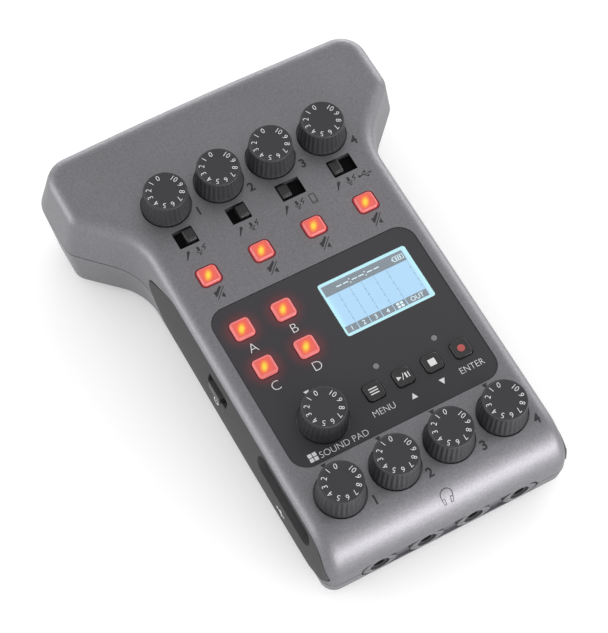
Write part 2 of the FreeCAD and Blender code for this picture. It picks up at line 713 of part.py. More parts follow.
SEAT = "body_width / 2 - side_seat"
INSIDE = "body_width / 2 - side_wall - 4"
MEETING = "-parting_depth - parting_gap / 2"
POWER_SLOT = "power_cap_length / 2 + power_throw + power_gap"
POWER_PLATE = "power_cap_length / 2 + 2 * power_throw + power_gap + power_cover"
POWER_PLATE_HEIGHT = "power_cap_height / 2 + power_gap + power_cover"
CARD_HEIGHT = "card_height + 2 * card_case"
PHONE_Z = "-board_depth - board_thickness - jack_height / 2"
USB_Z = "-board_depth + usb_height / 2"
INPUT_BODY = "input_bore + input_ring + input_shoulder"
INPUT_PANEL_HALF = f"1.5 * input_pitch + {INPUT_BODY} + input_panel_rim"
BAY_LENGTH = "cell_length + cell_button + 2 * contact_room"
BAY_WIDTH = "4 * cell_radius + 3 * cell_gap"
BAY_TOP = "foot_height + cover_thickness + 2 * cell_radius + 2 * cell_gap"


def shared_openings(part):
    """List the cutters that cross the seam and so open both shells."""
    tools = [shaped(f"{part}_{name}_seat", side_prism(side, size("side_gap")))
             for name, side in SIDES.items()]
    half, rise = f"{INPUT_PANEL_HALF} + panel_gap", f"{INPUT_BODY} + input_panel_rim + panel_gap"
    low = (f"-({half})", "input_panel_face - input_panel_thickness - 2", f"-input_depth - ({rise})")
    high = (half, "rear_reach + 3", f"-input_depth + {rise}")
    tools.append(block(f"{part}_input_opening", low, high))
    tools.append(shaped(f"{part}_scoop", scoop_form()))
    for place in CHANNELS:
        start = (f"{place} * jack_pitch", "-front_reach - 2", "-parting_depth")
        tools.append(rod(f"{part}_jack_hole", start, "jack_nose + jack_gap", "jack_setback + 2", "rear"))
    start = (INSIDE, "-phone_y", PHONE_Z)
    tools.append(rod(f"{part}_phone_hole", start, "jack_nose + jack_gap", "side_wall + 6", "right"))
    return tools


def upper_side_openings():
    """List the cutters for the ports, the power slider and the card slot in the upper shell."""
    tools = []
    for y in usb_places():
        half, rise = "usb_width / 2 + usb_gap", "usb_height / 2 + usb_gap"
        low = (f"-({SEAT}) - 1", f"{y} - ({half})", f"{USB_Z} - ({rise})")
        high = (f"-({INSIDE})", f"{y} + {half}", f"{USB_Z} + {rise}")
        tools.append(side_bar("usb_hole", low, high, "usb_height / 2 + usb_gap - 0.05"))
    half, rise = f"{POWER_PLATE} + power_throw + power_gap", f"{POWER_PLATE_HEIGHT} + power_gap"
    low = (f"-({SEAT}) - 1", f"-power_y - ({half})", f"-power_z - ({rise})")
    tools.append(block("power_hole", low, (f"-({INSIDE})", f"-power_y + {half}", f"-power_z + {rise}")))
    half = "card_width / 2 + card_case + card_gap"
    bottom = f"{board_bottom} - card_gap - ({CARD_HEIGHT})"
    low = (INSIDE, f"-card_y - ({half})", bottom)
    tools.append(block("card_hole", low, (f"{SEAT} + 1", f"-card_y + {half}", f"{board_bottom} + card_gap")))
    return tools


def deck_openings():
    """List the cutters for the dials, buttons, levers and lamps in the upper shell."""
    tools = []
    for name, (x, y), turn in knob_places():
        tools.append(well(name, x, y))
        tools.append(rod(name + "_hole", (x, y, "-wall - 1"), "bushing_gap + " + BUSHING, "wall + 1"))
    for name, spot, width, length, proud in button_places():
        tools.append(button_hole(name, spot, width, length))
    for number, x, throw, rest in lever_places():
        tools.append(slab(f"lever_slot_{number}", (x, "-slot_row"), f"lever_width + {throw} + 2 * lever_gap",
                          "slot_length", "-wall - 1", "2", "lever_gap"))
    for x in lamp_places():
        tools.append(rod("lamp_hole", (x, "-lamp_y", "-wall - 1"), "lamp_radius + lamp_gap", "wall + 2"))
    return tools


BUSHING = "shaft_radius + shaft_fit + bushing_wall"


def well(name, x, y):
    """Make the cutter for the round well that a knob dips into."""
    depth = "knob_sink + well_gap"
    return rod(name + "_well", (x, y, f"-({depth})"), "knob_radius + well_gap", f"{depth} + 3")


def button_hole(name, spot, width, length):
    """Make the cutter for a button's opening."""
    return slab(name + "_hole", spot, f"{width} + 2 * button_gap", f"{length} + 2 * button_gap",
                "-wall - 1", "2", "button_round + button_gap")


def lamp_places():
    """List the x of the two status lamps."""
    return ["lamp_left", "lamp_left + lamp_spacing"]


def top_shell():
    """Upper shell: deck, upper walls, screw posts and board bosses, with all its openings."""
    seam = size("parting_depth - parting_gap / 2")
    outer = upper_form(0.0, seam)
    outer = rounded_form(outer, deck_edges(outer), "edge_round")
    hollow = upper_form(size("wall"), seam + 1)
    adds = [shaped("top_shell_blank", outer.cut(hollow))]
    for x, y in post_places():
        adds.append(rod("top_post", (x, y, MEETING), "post_radius", f"-({MEETING}) - wall / 2"))
    for x, y in boss_places():
        adds.append(rod("board_boss", (x, y, board_top), "boss_radius", "board_depth - wall / 2"))
    body = fuse("top_shell_body", adds)
    tools = shared_openings("top") + upper_side_openings() + deck_openings()
    middle = ("0", "-(panel_front + panel_rear) / 2")
    tools.append(slab("panel_recess", middle, "panel_width + 2 * panel_gap",
                      "panel_front - panel_rear + 2 * panel_gap", "-panel_inset - panel_thickness", "2",
                      "panel_round + panel_gap"))
    tools.append(slab("display_hole", ("display_x", "-display_y"), "display_width - 2 * display_ledge",
                      "display_length - 2 * display_ledge", "-wall - 1", "1"))
    for x, y in post_places():
        tools.append(rod("post_pilot", (x, y, f"{MEETING} - 1"), "screw_radius + screw_fit",
                         "screw_bite + 1.5"))
    for x, y in boss_places():
        tools.append(rod("boss_pilot", (x, y, f"{board_top} - 1"), "board_screw_radius + screw_fit",
                         "board_depth - wall"))
    return cut("top_shell", body, tools)


def lip_ring(start, end, bottom, top):
    """Make a ring inside the walls, between two distances from the outline at the seam."""
    rings = []
    for distance in (start, end):
        wire = plan_wire(wall_set(distance), 1.0, -bottom, distance)
        rings.append(Part.Face(wire).extrude(Vector(0, 0, bottom - top)))
    return rings[0].cut(rings[1])


def lip_form():
    """Make the thin lip of the lower shell that stands up inside the upper shell."""
    wall, gap, thickness = size("wall"), size("lip_gap"), size("lip_thickness")
    seam, height = size("parting_depth"), size("lip_height")
    inner = wall + gap + thickness
    clear = wall + gap + height * slope("wing_draft")
    tall = lip_ring(clear, inner, seam + height, seam - height)
    lip = tall.fuse(lip_ring(wall - 0.3, inner, seam + height, seam + size("parting_gap")))
    for x, y in post_places():
        radius = size("post_radius + lip_gap")
        lip = lip.cut(Part.makeCylinder(radius, 4 * height, Vector(size(x), size(y), -seam - 2 * height)))
    return lip


def bay_slab(name, width, length, bottom, top, corner=None):
    """Make a block around the middle of the battery compartment, level with the table."""
    return slab(name, ("0", "cell_y"), width, length, bottom, top, corner)


def foot_places():
    """List the plan positions of the feet, level with the table."""
    reach = f"{case_length} / 2 - foot_setback"
    front = [(f"{side} * front_foot_x", f"-({reach})") for side in (-1, 1)]
    return front + [(f"{side} * rear_foot_x", reach) for side in (-1, 1)]


def lower_posts(limit):
    """Screw posts and rests for the headphone board, cut off at the underside and the seam."""
    posts = []
    for x, y in post_places():
        posts.append(rod("bottom_post", (x, y, "-deck_height - 8"), "post_radius", "deck_height + 8"))
    rest_top = "-parting_depth - jack_height / 2 - board_thickness"
    for side in (-1, 1):
        for y in (f"{jack_front} + 2", f"{jack_front} + front_board_length - 2"):
            start = (f"{side} * (front_board_width / 2 - 3)", y, "-deck_height")
            posts.append(rod("front_board_rest", start, "boss_radius", f"deck_height + {rest_top}"))
    trimmed = doc.addObject("Part::Common", "bottom_posts")
    trimmed.Base = group("bottom_posts_raw", posts)
    trimmed.Tool = shaped("bottom_shell_limit", limit)
    return trimmed


def bottom_shell():
    """Lower shell: lower walls, underside, lip, screw posts and the battery compartment."""
    seam = size("parting_depth + parting_gap / 2")
    outer = lower_form(0.0, seam)
    outer = rounded_form(outer, base_edges(outer), "base_round")
    hollow = lower_form(size("wall"), seam - 1)
    blank = shaped("bottom_shell_blank", outer.cut(hollow).fuse(lip_form()))
    rim_bottom = "foot_height + cover_thickness"
    recess = "2 * cover_ledge + 2 * cover_gap"
    raised = [
        bay_slab("bay_box", f"{BAY_LENGTH} + 2 * bay_wall", f"{BAY_WIDTH} + 2 * bay_wall",
                 rim_bottom, f"{BAY_TOP} + bay_wall"),
        bay_slab("bay_rim", f"{BAY_LENGTH} + {recess} + 2 * bay_wall",
                 f"{BAY_WIDTH} + {recess} + 2 * bay_wall",
                 rim_bottom, f"{rim_bottom} + cover_lift + bay_wall"),
    ]
    adds = [blank, lower_posts(outer), levelled("bay_adds", [fuse("bay_walls", raised)])]
    body = fuse("bottom_shell_body", adds)
    opened = [
        bay_slab("bay_hollow", BAY_LENGTH, BAY_WIDTH, "foot_height - 1", BAY_TOP),
        bay_slab("cover_recess", f"{BAY_LENGTH} + {recess}", f"{BAY_WIDTH} + {recess}",
                 "foot_height - 1", f"{rim_bottom} + cover_lift", "cover_round + cover_gap"),
    ]
    for x, y in foot_places():
        opened.append(rod("foot_pocket", (x, y, "foot_height - 1"), "foot_radius + foot_gap",
                          "foot_seat + 1"))
    tools = shared_openings("bottom") + [levelled("bay_cuts", [fuse("bay_openings", opened)])]
    for x, y in post_places():
        start = (x, y, "-deck_height - 8")
        tools.append(rod("screw_hole", start, "screw_radius + screw_clear", "deck_height + 8"))
        tools.append(rod("head_hole", start, "screw_head_radius + screw_clear",
                         "deck_height + 8 - parting_depth - screw_seat"))
    return cut("bottom_shell", body, tools)


# Panels


def side_panel(name, side, openings):
    """Side panel: a long shield with a bulging face, seated in both shells."""
    reach = size("front_reach")
    radius = size("side_bulge")
    face = size("body_width / 2 + side_proud")
    barrel = Part.makeCylinder(radius, 2 * reach, Vector(side * (face - radius), -2 * reach,
                                                         -size("side_crown")),
                               Vector(0, 1, 0))
    corners = [Vector(0, 0, -reach), Vector(0, -reach, -reach), Vector(side * face, -reach, -reach),
               Vector(side * face, 0, -reach)]
    plan = rounded_wire(corners, [0, 0, size("edge_round"), 0])
    corner = Part.Face(plan).extrude(Vector(0, 0, 2 * reach))
    blank = shaped(name + "_blank", side_prism(side, 0.0).common(barrel).common(corner))
    return cut(name, blank, openings)


def left_panel_openings():
    """Window of the two ports and slot of the power slider."""
    low = ("-body_width / 2 - 2", "-usb_window_front", "-usb_window_top - usb_window_height")
    window = side_bar("usb_window", low, (f"-({INSIDE})", "-usb_window_rear", "-usb_window_top"),
                      "usb_window_height / 2 - 0.05")
    rise = "power_cap_height / 2 + power_gap"
    low = ("-body_width / 2 - 2", f"-power_y - ({POWER_SLOT})", f"-power_z - ({rise})")
    slot = side_bar("power_slot", low, (f"-({INSIDE})", f"-power_y + {POWER_SLOT}", f"-power_z + {rise}"),
                    "power_gap * 2")
    return [window, slot]


def right_panel_openings():
    """Slot of the memory card and hole of the phone socket."""
    half = "card_width / 2 + card_gap"
    middle = f"{board_bottom} - ({CARD_HEIGHT}) / 2"
    rise = "card_height / 2 + card_gap"
    low = (INSIDE, f"-card_y - ({half})", f"{middle} - ({rise})")
    slot = side_bar("card_slot_opening", low, ("body_width / 2 + 2", f"-card_y + {half}",
                                               f"{middle} + {rise}"),
                    "card_gap * 3")
    start = (INSIDE, "-phone_y", PHONE_Z)
    return [slot, rod("phone_opening", start, "jack_nose + jack_gap", "side_wall + 6", "right")]


def control_panel():
    """Control panel: thin plate let into the deck around the display, pads and buttons."""
    middle = ("0", "-(panel_front + panel_rear) / 2")
    plate = slab("control_plate", middle, "panel_width", "panel_front - panel_rear",
                 "-panel_inset - panel_thickness", "-panel_inset", "panel_round")
    tools = [slab("display_opening", ("display_x", "-display_y"), "display_width + 2 * display_gap",
                  "display_length + 2 * display_gap", "-wall", "1", "display_round + display_gap")]
    for name, spot, width, length, proud in button_places():
        if "mute" not in name:
            tools.append(button_hole("panel_" + name, spot, width, length))
    tools.append(well("panel_pad_knob", "-pad_knob_x", "-pad_knob_y"))
    for x in lamp_places():
        tools.append(rod("panel_lamp_hole", (x, "-lamp_y", "-wall"), "lamp_radius + lamp_gap", "wall + 1"))
    return cut("control_panel", plate, tools)


def display_window():
    """Clear window over the display, resting on a ledge of the deck."""
    return slab("display_glass", ("display_x", "-display_y"), "display_width", "display_length",
                "-panel_inset - panel_thickness", "-panel_inset", "display_round")


def display_module():
    """Display under its window: glass on a frame that stands on the main board."""
    spot = ("display_x", "-display_y")
    glass_top = "-wall - module_gap"
    frame = slab("module_frame", spot, "display_width + 2 * module_margin",
                 "display_length + 2 * module_margin",
                 board_top, f"{glass_top} - module_glass")
    glass = slab("module_glass_plate", spot, "display_width", "display_length",
                 f"{glass_top} - module_glass", glass_top)
    return fuse("display_unit", [frame, glass])


def status_lenses():
    """Two status lamps: clear pins from the main board up through the control panel."""
    lamps = []
    for x in lamp_places():
        pin = rod("lamp_pin", (x, "-lamp_y", board_top), "lamp_radius", "board_depth - panel_inset")
        collar = rod("lamp_collar", (x, "-lamp_y", "-wall - 2 * button_stop"), "lamp_flange", "button_stop")
        lamps.append(fuse("lamp", [pin, collar]))
    return group("lamps", lamps)


def input_panel():
    """Panel that closes the rear opening around the four microphone sockets."""
    half, rise = INPUT_PANEL_HALF, f"{INPUT_BODY} + input_panel_rim"
    low = (f"-({half})", "input_panel_face - input_panel_thickness", f"-input_depth - ({rise})")
    plate = block("input_plate", low, (half, "input_panel_face", f"-input_depth + {rise}"))
    rounded = doc.addObject("Part::Fillet", "input_plate_rounded")
    rounded.Base = plate
    radius = size("input_panel_round")
    rounded.Edges = [(edge, radius, radius) for edge in (2, 4, 6, 8)]
    holes = []
    for x in input_places():
        start = (x, "input_panel_face - input_panel_thickness - 1", "-input_depth")
        holes.append(rod("input_hole", start, "input_bore + input_ring + input_gap",
                         "input_panel_thickness + 2",
                         "rear"))
    return cut("input_plate_cut", rounded, holes)


# Knobs


def closed_sketch(body, name, plane, points):
    """Draw a closed outline on one of a body's planes, each corner tied to the sheet."""
    sketch = body.newObject("Sketcher::SketchObject", name)
    support = [item for item in body.Origin.OriginFeatures if item.Role == plane][0]
    sketch.AttachmentSupport = [(support, "")]
    sketch.MapMode = "FlatFace"
    spots = [Vector(size(x), size(y), 0) for x, y in points]
    count = len(spots)
    for i, spot in enumerate(spots):
        sketch.addGeometry(Part.LineSegment(spot, spots[(i + 1) % count]))
    for i in range(count):
        sketch.addConstraint(Sketcher.Constraint("Coincident", i, 2, (i + 1) % count, 1))
    for i, (x, y) in enumerate(points):
        if x == "0":
            sketch.addConstraint(Sketcher.Constraint("PointOnObject", i, 1, -2))
        else:
            at = sketch.addConstraint(Sketcher.Constraint("DistanceX", -1, 1, i, 1, spots[i].x))
            bind(sketch, f"Constraints[{at}]", x)
        at = sketch.addConstraint(Sketcher.Constraint("DistanceY", -1, 1, i, 1, spots[i].y))
        bind(sketch, f"Constraints[{at}]", y)
    return sketch


def knob(name):
    """Knob with its shaft: a tapering skirt with grip flutes, turned in one piece."""
    body = doc.addObject("PartDesign::Body", name + "_body")
    shaft_end = f"{board_top} + shaft_floor + lever_gap"
    top = "knob_radius - knob_taper"
    profile = [
        ("0", shaft_end), ("shaft_radius", shaft_end), ("shaft_radius", "-knob_sink"),
        ("knob_radius", "-knob_sink"), ("knob_radius", "knob_foot"), (top, "knob_height - knob_crown"),
        (f"{top} - knob_crown", "knob_height"), ("0", "knob_height"),
    ]
    turned = body.newObject("PartDesign::Revolution", name + "_turned")
    turned.Profile = closed_sketch(body, name + "_profile", "XZ_Plane", profile)
    turned.ReferenceAxis = (turned.Profile[0], ["V_Axis"])
    turned.Angle = 360
    flute = body.newObject("Sketcher::SketchObject", name + "_flute_sketch")
    plane = [item for item in body.Origin.OriginFeatures if item.Role == "XY_Plane"][0]
    flute.AttachmentSupport = [(plane, "")]
    flute.MapMode = "FlatFace"
    lean = math.degrees(math.atan(size("knob_taper / (knob_height - knob_crown - knob_foot)")))
    flute.AttachmentOffset = Placement(Vector(), Rotation(Vector(0, 1, 0), -lean))
    bind(flute, "AttachmentOffset.Base.z", "knob_foot")
    bind(flute, "AttachmentOffset.Base.x", "knob_radius + flute_radius - flute_depth")
    flute.addGeometry(Part.Circle(Vector(), Vector(0, 0, 1), size("flute_radius")))
    flute.addConstraint(Sketcher.Constraint("Coincident", 0, 3, -1, 1))
    at = flute.addConstraint(Sketcher.Constraint("Radius", 0, size("flute_radius")))
    bind(flute, f"Constraints[{at}]", "flute_radius")
    groove = body.newObject("PartDesign::Pocket", name + "_flute")
    groove.Profile = flute
    groove.Reversed = True
    bind(groove, "Length", "knob_height + 2")
    around = body.newObject("PartDesign::PolarPattern", name + "_flutes")
    around.Originals = [groove]
    around.Axis = ([item for item in body.Origin.OriginFeatures if item.Role == "Z_Axis"][0], [""])
    around.Angle = 360
    around.Occurrences = round(size("flute_count"))
    body.Tip = around
    return body


def potentiometers(name, spots):
    """Potentiometers: a body on the main board with a collar up into the shell."""
    pots = []
    for x, y in spots:
        case = slab("pot_case", (x, y), "pot_width", "pot_length", board_top, f"{board_top} + pot_height")
        collar_top = "-knob_sink - well_gap - bushing_gap"
        collar = rod("pot_collar", (x, y, board_top), BUSHING, f"board_depth + {collar_top}")
        bore = rod("pot_bore", (x, y, f"{board_top} + shaft_floor"), "shaft_radius + shaft_fit",
                   "board_depth")
        pots.append(cut("pot", fuse("pot_solid", [case, collar]), [bore]))
    return group(name + "_set", pots)


# Buttons and levers


def button(name, width, length, proud):
    """Button drawn about its own middle: cap, collar under the shell, and stem."""
    spot = ("0", "0")
    under = "-wall - button_stop"
    cap = slab(name + "_cap", spot, width, length, f"{under} - button_collar", proud, "button_round")
    collar = slab(name + "_collar", spot, f"{width} + 2 * button_collar", f"{length} + 2 * button_collar",
                  f"{under} - button_collar", under, "button_round")
    low = f"{board_top} + tact_height + tact_plunger + button_stop + button_travel"
    stem = rod(name + "_stem", ("0", "0", low), "button_stem", f"{under} - ({low})")
    return fuse(name + "_solid", [cap, collar, stem])


def tact_switches():
    """Push switches on the main board, one under each button."""
    switches = []
    for name, (x, y), width, length, proud in button_places():
        case = slab("tact_case", (x, y), "tact_size", "tact_size", board_top, f"{board_top} + tact_height")
        plunger = rod("tact_plunger", (x, y, board_top), "button_stem", "tact_height + tact_plunger")
        switches.append(fuse("tact", [case, plunger]))
    return group("tact_set", switches)


def lever(number, throw):
    """Slide switch lever drawn about its own middle: cap, cover plate and foot."""
    name = f"lever_{number}"
    spot = ("0", "0")
    under = "-wall - lever_gap"
    cap = slab(name + "_cap", spot, "lever_width", "lever_length", f"{under} - lever_plate", "lever_proud",
               "lever_gap")
    plate = slab(name + "_plate", spot, f"lever_width + 2 * {throw} + 2 * lever_gap + 2 * lever_cover",
                 "slot_length + 2 * lever_cover", f"{under} - lever_plate", under)
    foot = slab(name + "_foot", spot, "lever_stem", "lever_stem", f"{board_top} + switch_floor + lever_gap",
                under)
    return fuse(name + "_solid", [cap, plate, foot])


def input_switch_bodies():
    """Bodies of the slide switches on the main board, each with a channel for the lever's foot."""
    bodies = []
    for number, x, throw, rest in lever_places():
        spot = (x, "-slot_row")
        case = slab("switch_case", spot, "switch_width", "switch_length", board_top,
                    "-wall - 2 * lever_gap - lever_plate")
        channel = slab("switch_channel", spot, f"lever_stem + {throw} + 2 * lever_gap",
                       "lever_stem + 2 * lever_gap", f"{board_top} + switch_floor", "0")
        bodies.append(cut("switch", case, [channel]))
    return group("switch_set", bodies)


def power_switch_slider():
    """Power slider drawn about the middle of its slot: cap, cover plate and finger."""
    back = f"-({SEAT}) + power_gap"
    rise = "power_cap_height / 2"
    cap = side_bar("power_cap", ("-body_width / 2 - power_proud", "-power_cap_length / 2", f"-{rise}"),
                   (back, "power_cap_length / 2", rise), "power_gap")
    plate = block("power_cover_plate", (back, f"-({POWER_PLATE})", f"-({POWER_PLATE_HEIGHT})"),
                  (f"{back} + power_plate", POWER_PLATE, POWER_PLATE_HEIGHT))
    middle = "power_z - board_depth + power_body_height / 2"
    finger = block("power_finger", (f"{back} + power_plate", "-power_prong / 2",
                                    f"{middle} - power_prong / 2"),
                   (f"{back} + power_plate + power_prong_length", "power_prong / 2",
                    f"{middle} + power_prong / 2"))
    return fuse("power_slider_solid", [cap, plate, finger])


def power_switch_body():
    """Body of the power switch on the edge of the main board."""
    front = f"-({SEAT}) + 2 * power_gap + power_plate"
    half = "power_body_length / 2"
    case = block("power_case", (front, f"-power_y - {half}", board_top),
                 (f"{front} + power_body_depth", f"-power_y + {half}", f"{board_top} + power_body_height"))
    reach = "power_prong / 2 + power_throw + power_gap"
    middle = f"{board_top} + power_body_height / 2"
    rise = "power_prong / 2 + power_gap"
    channel = block("power_channel", (f"{front} - 1", f"-power_y - ({reach})", f"{middle} - ({rise})"),
                    (f"{front} + power_prong_length", f"-power_y + {reach}", f"{middle} + {rise}"))
    return cut("power_case_cut", case, [channel])


# Boards


def main_board():
    """Main board under the deck, with room for the screw posts and holes for its screws."""
    half = "body_width / 2 - side_wall - board_gap"
    plate = block("main_plate", (f"-({half})", "-board_front", board_bottom), (half, "board_rear", board_top))
    holes = []
    for x, y in post_places()[2:]:
        holes.append(rod("board_post_hole", (x, y, f"{board_bottom} - 1"), "post_radius + screw_clear",
                         "board_thickness + 2"))
    for x, y in boss_places():
        holes.append(rod("board_screw_hole", (x, y, f"{board_bottom} - 1"),
                         "board_screw_radius + screw_clear",
                         "board_thickness + 2"))
    return cut("main_plate_cut", plate, holes)


def front_board():
    """Board under the headphone sockets."""
    low = "-parting_depth - jack_height / 2 - board_thickness"
    half = "front_board_width / 2"
    return block("front_plate", (f"-{half}", jack_front, low),
                 (half, f"{jack_front} + front_board_length", f"{low} + board_thickness"))


def rear_board():
    """Upright board behind the microphone sockets."""
    half = "rear_board_width / 2"
    return block("rear_plate", (f"-{half}", "rear_board_y", f"-input_depth - ({INPUT_BODY})"),
                 (half, "rear_board_y + board_thickness", f"-input_depth + {INPUT_BODY}"))


# Sockets


def headphone_jack(x):
    """Stereo 3.5 mm socket on the front board, its nose in the seam of the case."""
    seam = "-parting_depth"
    case = slab("jack_case", (x, f"{jack_front} + jack_length / 2"), "jack_width", "jack_length",
                f"{seam} - jack_height / 2", f"{seam} + jack_height / 2")
    mouth = "-front_reach + jack_recess"
    nose = rod("jack_collar", (x, mouth, seam), "jack_nose", "jack_setback - jack_recess + 1", "rear")
    bore = rod("jack_hole", (x, f"{mouth} - 1", seam), "jack_bore",
               "jack_length + jack_setback - jack_recess",
               "rear")
    return cut("jack", fuse("jack_solid", [case, nose]), [bore])


def phone_jack():
    """Stereo 3.5 mm socket for a phone, under the main board, facing right."""
    face = f"{SEAT} - phone_setback"
    case = block("phone_case", (f"{face} - jack_length", "-phone_y - jack_width / 2",
                                f"{PHONE_Z} - jack_height / 2"),
                 (face, "-phone_y + jack_width / 2", board_bottom))
    nose = rod("phone_collar", (f"{face} - 1", "-phone_y", PHONE_Z), "jack_nose",
               "phone_setback + phone_nose + 1",
               "right")
    depth = "phone_setback + phone_nose + jack_length - 1"
    bore = rod("phone_bore", (f"{SEAT} + phone_nose - ({depth})", "-phone_y", PHONE_Z), "jack_bore",
               f"{depth} + 1", "right")
    return cut("phone_socket", fuse("phone_solid", [case, nose]), [bore])


def xlr_socket(x):
    """Microphone socket: round body, open ring for the plug's sleeve, insert with three contacts."""
    z = "-input_depth"
    back = "rear_board_y + board_thickness"
    drum = rod("input_drum", (x, back, z), INPUT_BODY, f"input_panel_face - input_panel_thickness - ({back})",
               "rear")
    ring = rod("input_nose", (x, back, z), "input_bore + input_ring", f"input_mouth - ({back})", "rear")
    floor = "input_mouth - input_floor"
    hollow = rod("input_hollow", (x, floor, z), "input_bore", "input_floor + 1", "rear")
    insert = rod("input_insert", (x, f"{floor} - 1", z), "input_core", "input_floor + 1 - input_core_inset",
                 "rear")
    key = block("input_key_rib", (f"{x} - input_key / 2", f"{floor} - 1", f"{z} + input_core - 1"),
                (f"{x} + input_key / 2", "input_mouth - input_core_inset", f"{z} + input_core + 0.8"))
    contacts = []
    for across, down in ((-1, 0), (1, 0), (0, -1)):
        start = (f"{x} + {across} * input_contact_ring", "input_mouth - input_contact_depth",
                 f"{z} + {down} * input_contact_ring")
        contacts.append(rod("input_contact_hole", start, "input_contact", "input_contact_depth + 1", "rear"))
    shell = cut("input_shell", fuse("input_solid", [drum, ring]), [hollow])
    return cut("input_socket", fuse("input_filled", [shell, insert, key]), contacts)


def usb_ports():
    """Two USB-C receptacles on the left edge of the main board."""
    ports = []
    for y in usb_places():
        mouth = f"-({SEAT})"
        half, rise = "usb_width / 2", "usb_height / 2"
        outer = side_bar("usb_outer", (mouth, f"{y} - {half}", f"{USB_Z} - {rise}"),
                         (f"{mouth} + usb_length", f"{y} + {half}",
                          f"{USB_Z} + {rise}"), "usb_height / 2 - 0.05")
        low = (f"{mouth} - 1", f"{y} - {half} + usb_metal", f"{USB_Z} - {rise} + usb_metal")
        high = (f"{mouth} + usb_length - usb_back", f"{y} + {half} - usb_metal",
                f"{USB_Z} + {rise} - usb_metal")
        inner = side_bar("usb_inner", low, high, "usb_height / 2 - usb_metal - 0.05")
        tongue = block("usb_tongue_plate",
                       (f"{mouth} + usb_tongue_inset", f"{y} - usb_tongue_width / 2",
                        f"{USB_Z} - usb_tongue / 2"),
                       (f"{mouth} + usb_length - usb_back / 2", f"{y} + usb_tongue_width / 2",
                        f"{USB_Z} + usb_tongue / 2"))
        ports.append(fuse("usb_port", [cut("usb_shell", outer, [inner]), tongue]))
    return group("usb_set", ports)


def card_slot():
    """Memory card slot under the main board, facing right."""
    mouth = f"{SEAT} - card_inset"
    half = "card_width / 2"
    bottom = f"{board_bottom} - ({CARD_HEIGHT})"
    outer = block("card_outer", (f"{mouth} - card_depth - card_back", f"-card_y - {half} - card_case",
                                 bottom),
                  (mouth, f"-card_y + {half} + card_case", board_bottom))
    inner = block("card_inner", (f"{mouth} - card_depth", f"-card_y - {half}", f"{bottom} + card_case"),
                  (f"{mouth} + 1", f"-card_y + {half}", f"{board_bottom} - card_case"))
    return cut("card_socket", outer, [inner])


# Battery compartment and feet


CELL_Z = "foot_height + cover_thickness + cell_radius + cell_gap"


def cell_rows():
    """List the y of the two cells and which end their buttons are at."""
    return [(f"cell_y + {side} * (cell_radius + cell_gap / 2)", side) for side in (-1, 1)]


def batteries():
    """Two AA cells side by side, buttons at opposite ends."""
    cells = []
    for y, side in cell_rows():
        start = "-cell_length / 2 - cell_button / 2" if side > 0 else "-cell_length / 2 + cell_button / 2"
        can = rod("cell_can", (start, y, CELL_Z), "cell_radius", "cell_length", "right")
        tip = f"{start} + cell_length - 1" if side > 0 else f"{start} - cell_button"
        button_rod = rod("cell_tip", (tip, y, CELL_Z), "cell_button_radius", "cell_button + 1", "right")
        cells.append(fuse("cell", [can, button_rod]))
    return group("cell_set", cells)


def battery_contacts():
    """Four sheet contacts on the end walls of the compartment, each with a boss to its cell."""
    contacts = []
    for y, side in cell_rows():
        for end in (-1, 1):
            wall_x = f"{end} * ({BAY_LENGTH}) / 2"
            sheet_x = f"{wall_x} - {end} * contact_sheet"
            low, high = (sheet_x, wall_x) if end > 0 else (wall_x, sheet_x)
            plate = block("contact_plate", (low, f"{y} - contact_size / 2", f"{CELL_Z} - contact_size / 2"),
                          (high, f"{y} + contact_size / 2", f"{CELL_Z} + contact_size / 2"))
            start = f"{wall_x} - contact_room" if end > 0 else wall_x
            boss = rod("contact_boss", (start, y, CELL_Z), "cell_button_radius - contact_sheet",
                       "contact_room",
                       "right")
            contacts.append(fuse("contact", [plate, boss]))
    return group("contact_set", contacts)


def battery_cover():
    """Snap-in cover of the battery compartment, flush with the underside."""
    return bay_slab("cover_plate", f"{BAY_LENGTH} + 2 * cover_ledge", f"{BAY_WIDTH} + 2 * cover_ledge",
                    "foot_height", "foot_height + cover_thickness", "cover_round")


def feet():
    """Four rubber feet, let into the underside."""
    return group("foot_set", [rod("foot", (x, y, "0"), "foot_radius", "foot_height + foot_seat")
                              for x, y in foot_places()])


def case_screws():
    """Screws that hold the shells together, from below through the lower posts."""
    screws = []
    for x, y in post_places():
        seat = "-parting_depth - screw_seat"
        head = rod("screw_head_disc", (x, y, f"{seat} - screw_head"), "screw_head_radius", "screw_head")
        thread = rod("screw_thread", (x, y, f"{seat} - screw_head / 2"), "screw_radius",
                     "screw_head / 2 + screw_seat + screw_bite")
        screws.append(fuse("case_screw", [head, thread]))
    return group("case_screw_set", screws)


def board_screws():
    """Screws that hold the main board to its bosses."""
    screws = []
    for x, y in boss_places():
        head = rod("board_screw_disc", (x, y, f"{board_bottom} - board_screw_head"), "2 * board_screw_radius",
                   "board_screw_head")
        thread = rod("board_screw_thread", (x, y, f"{board_bottom} - board_screw_head / 2"),
                     "board_screw_radius",
                     "board_screw_head / 2 + board_thickness + board_depth - wall - 1.5")
        screws.append(fuse("board_screw", [head, thread]))
    return group("board_screw_set", screws)


# The whole recorder


def on_deck(x, y, z="0", turn=0):
    """Give the placement of a piece that is drawn about its own spot on the deck."""
    return deck * Placement(Vector(size(x), size(y), size(z)), Rotation(Vector(0, 0, 1), turn))


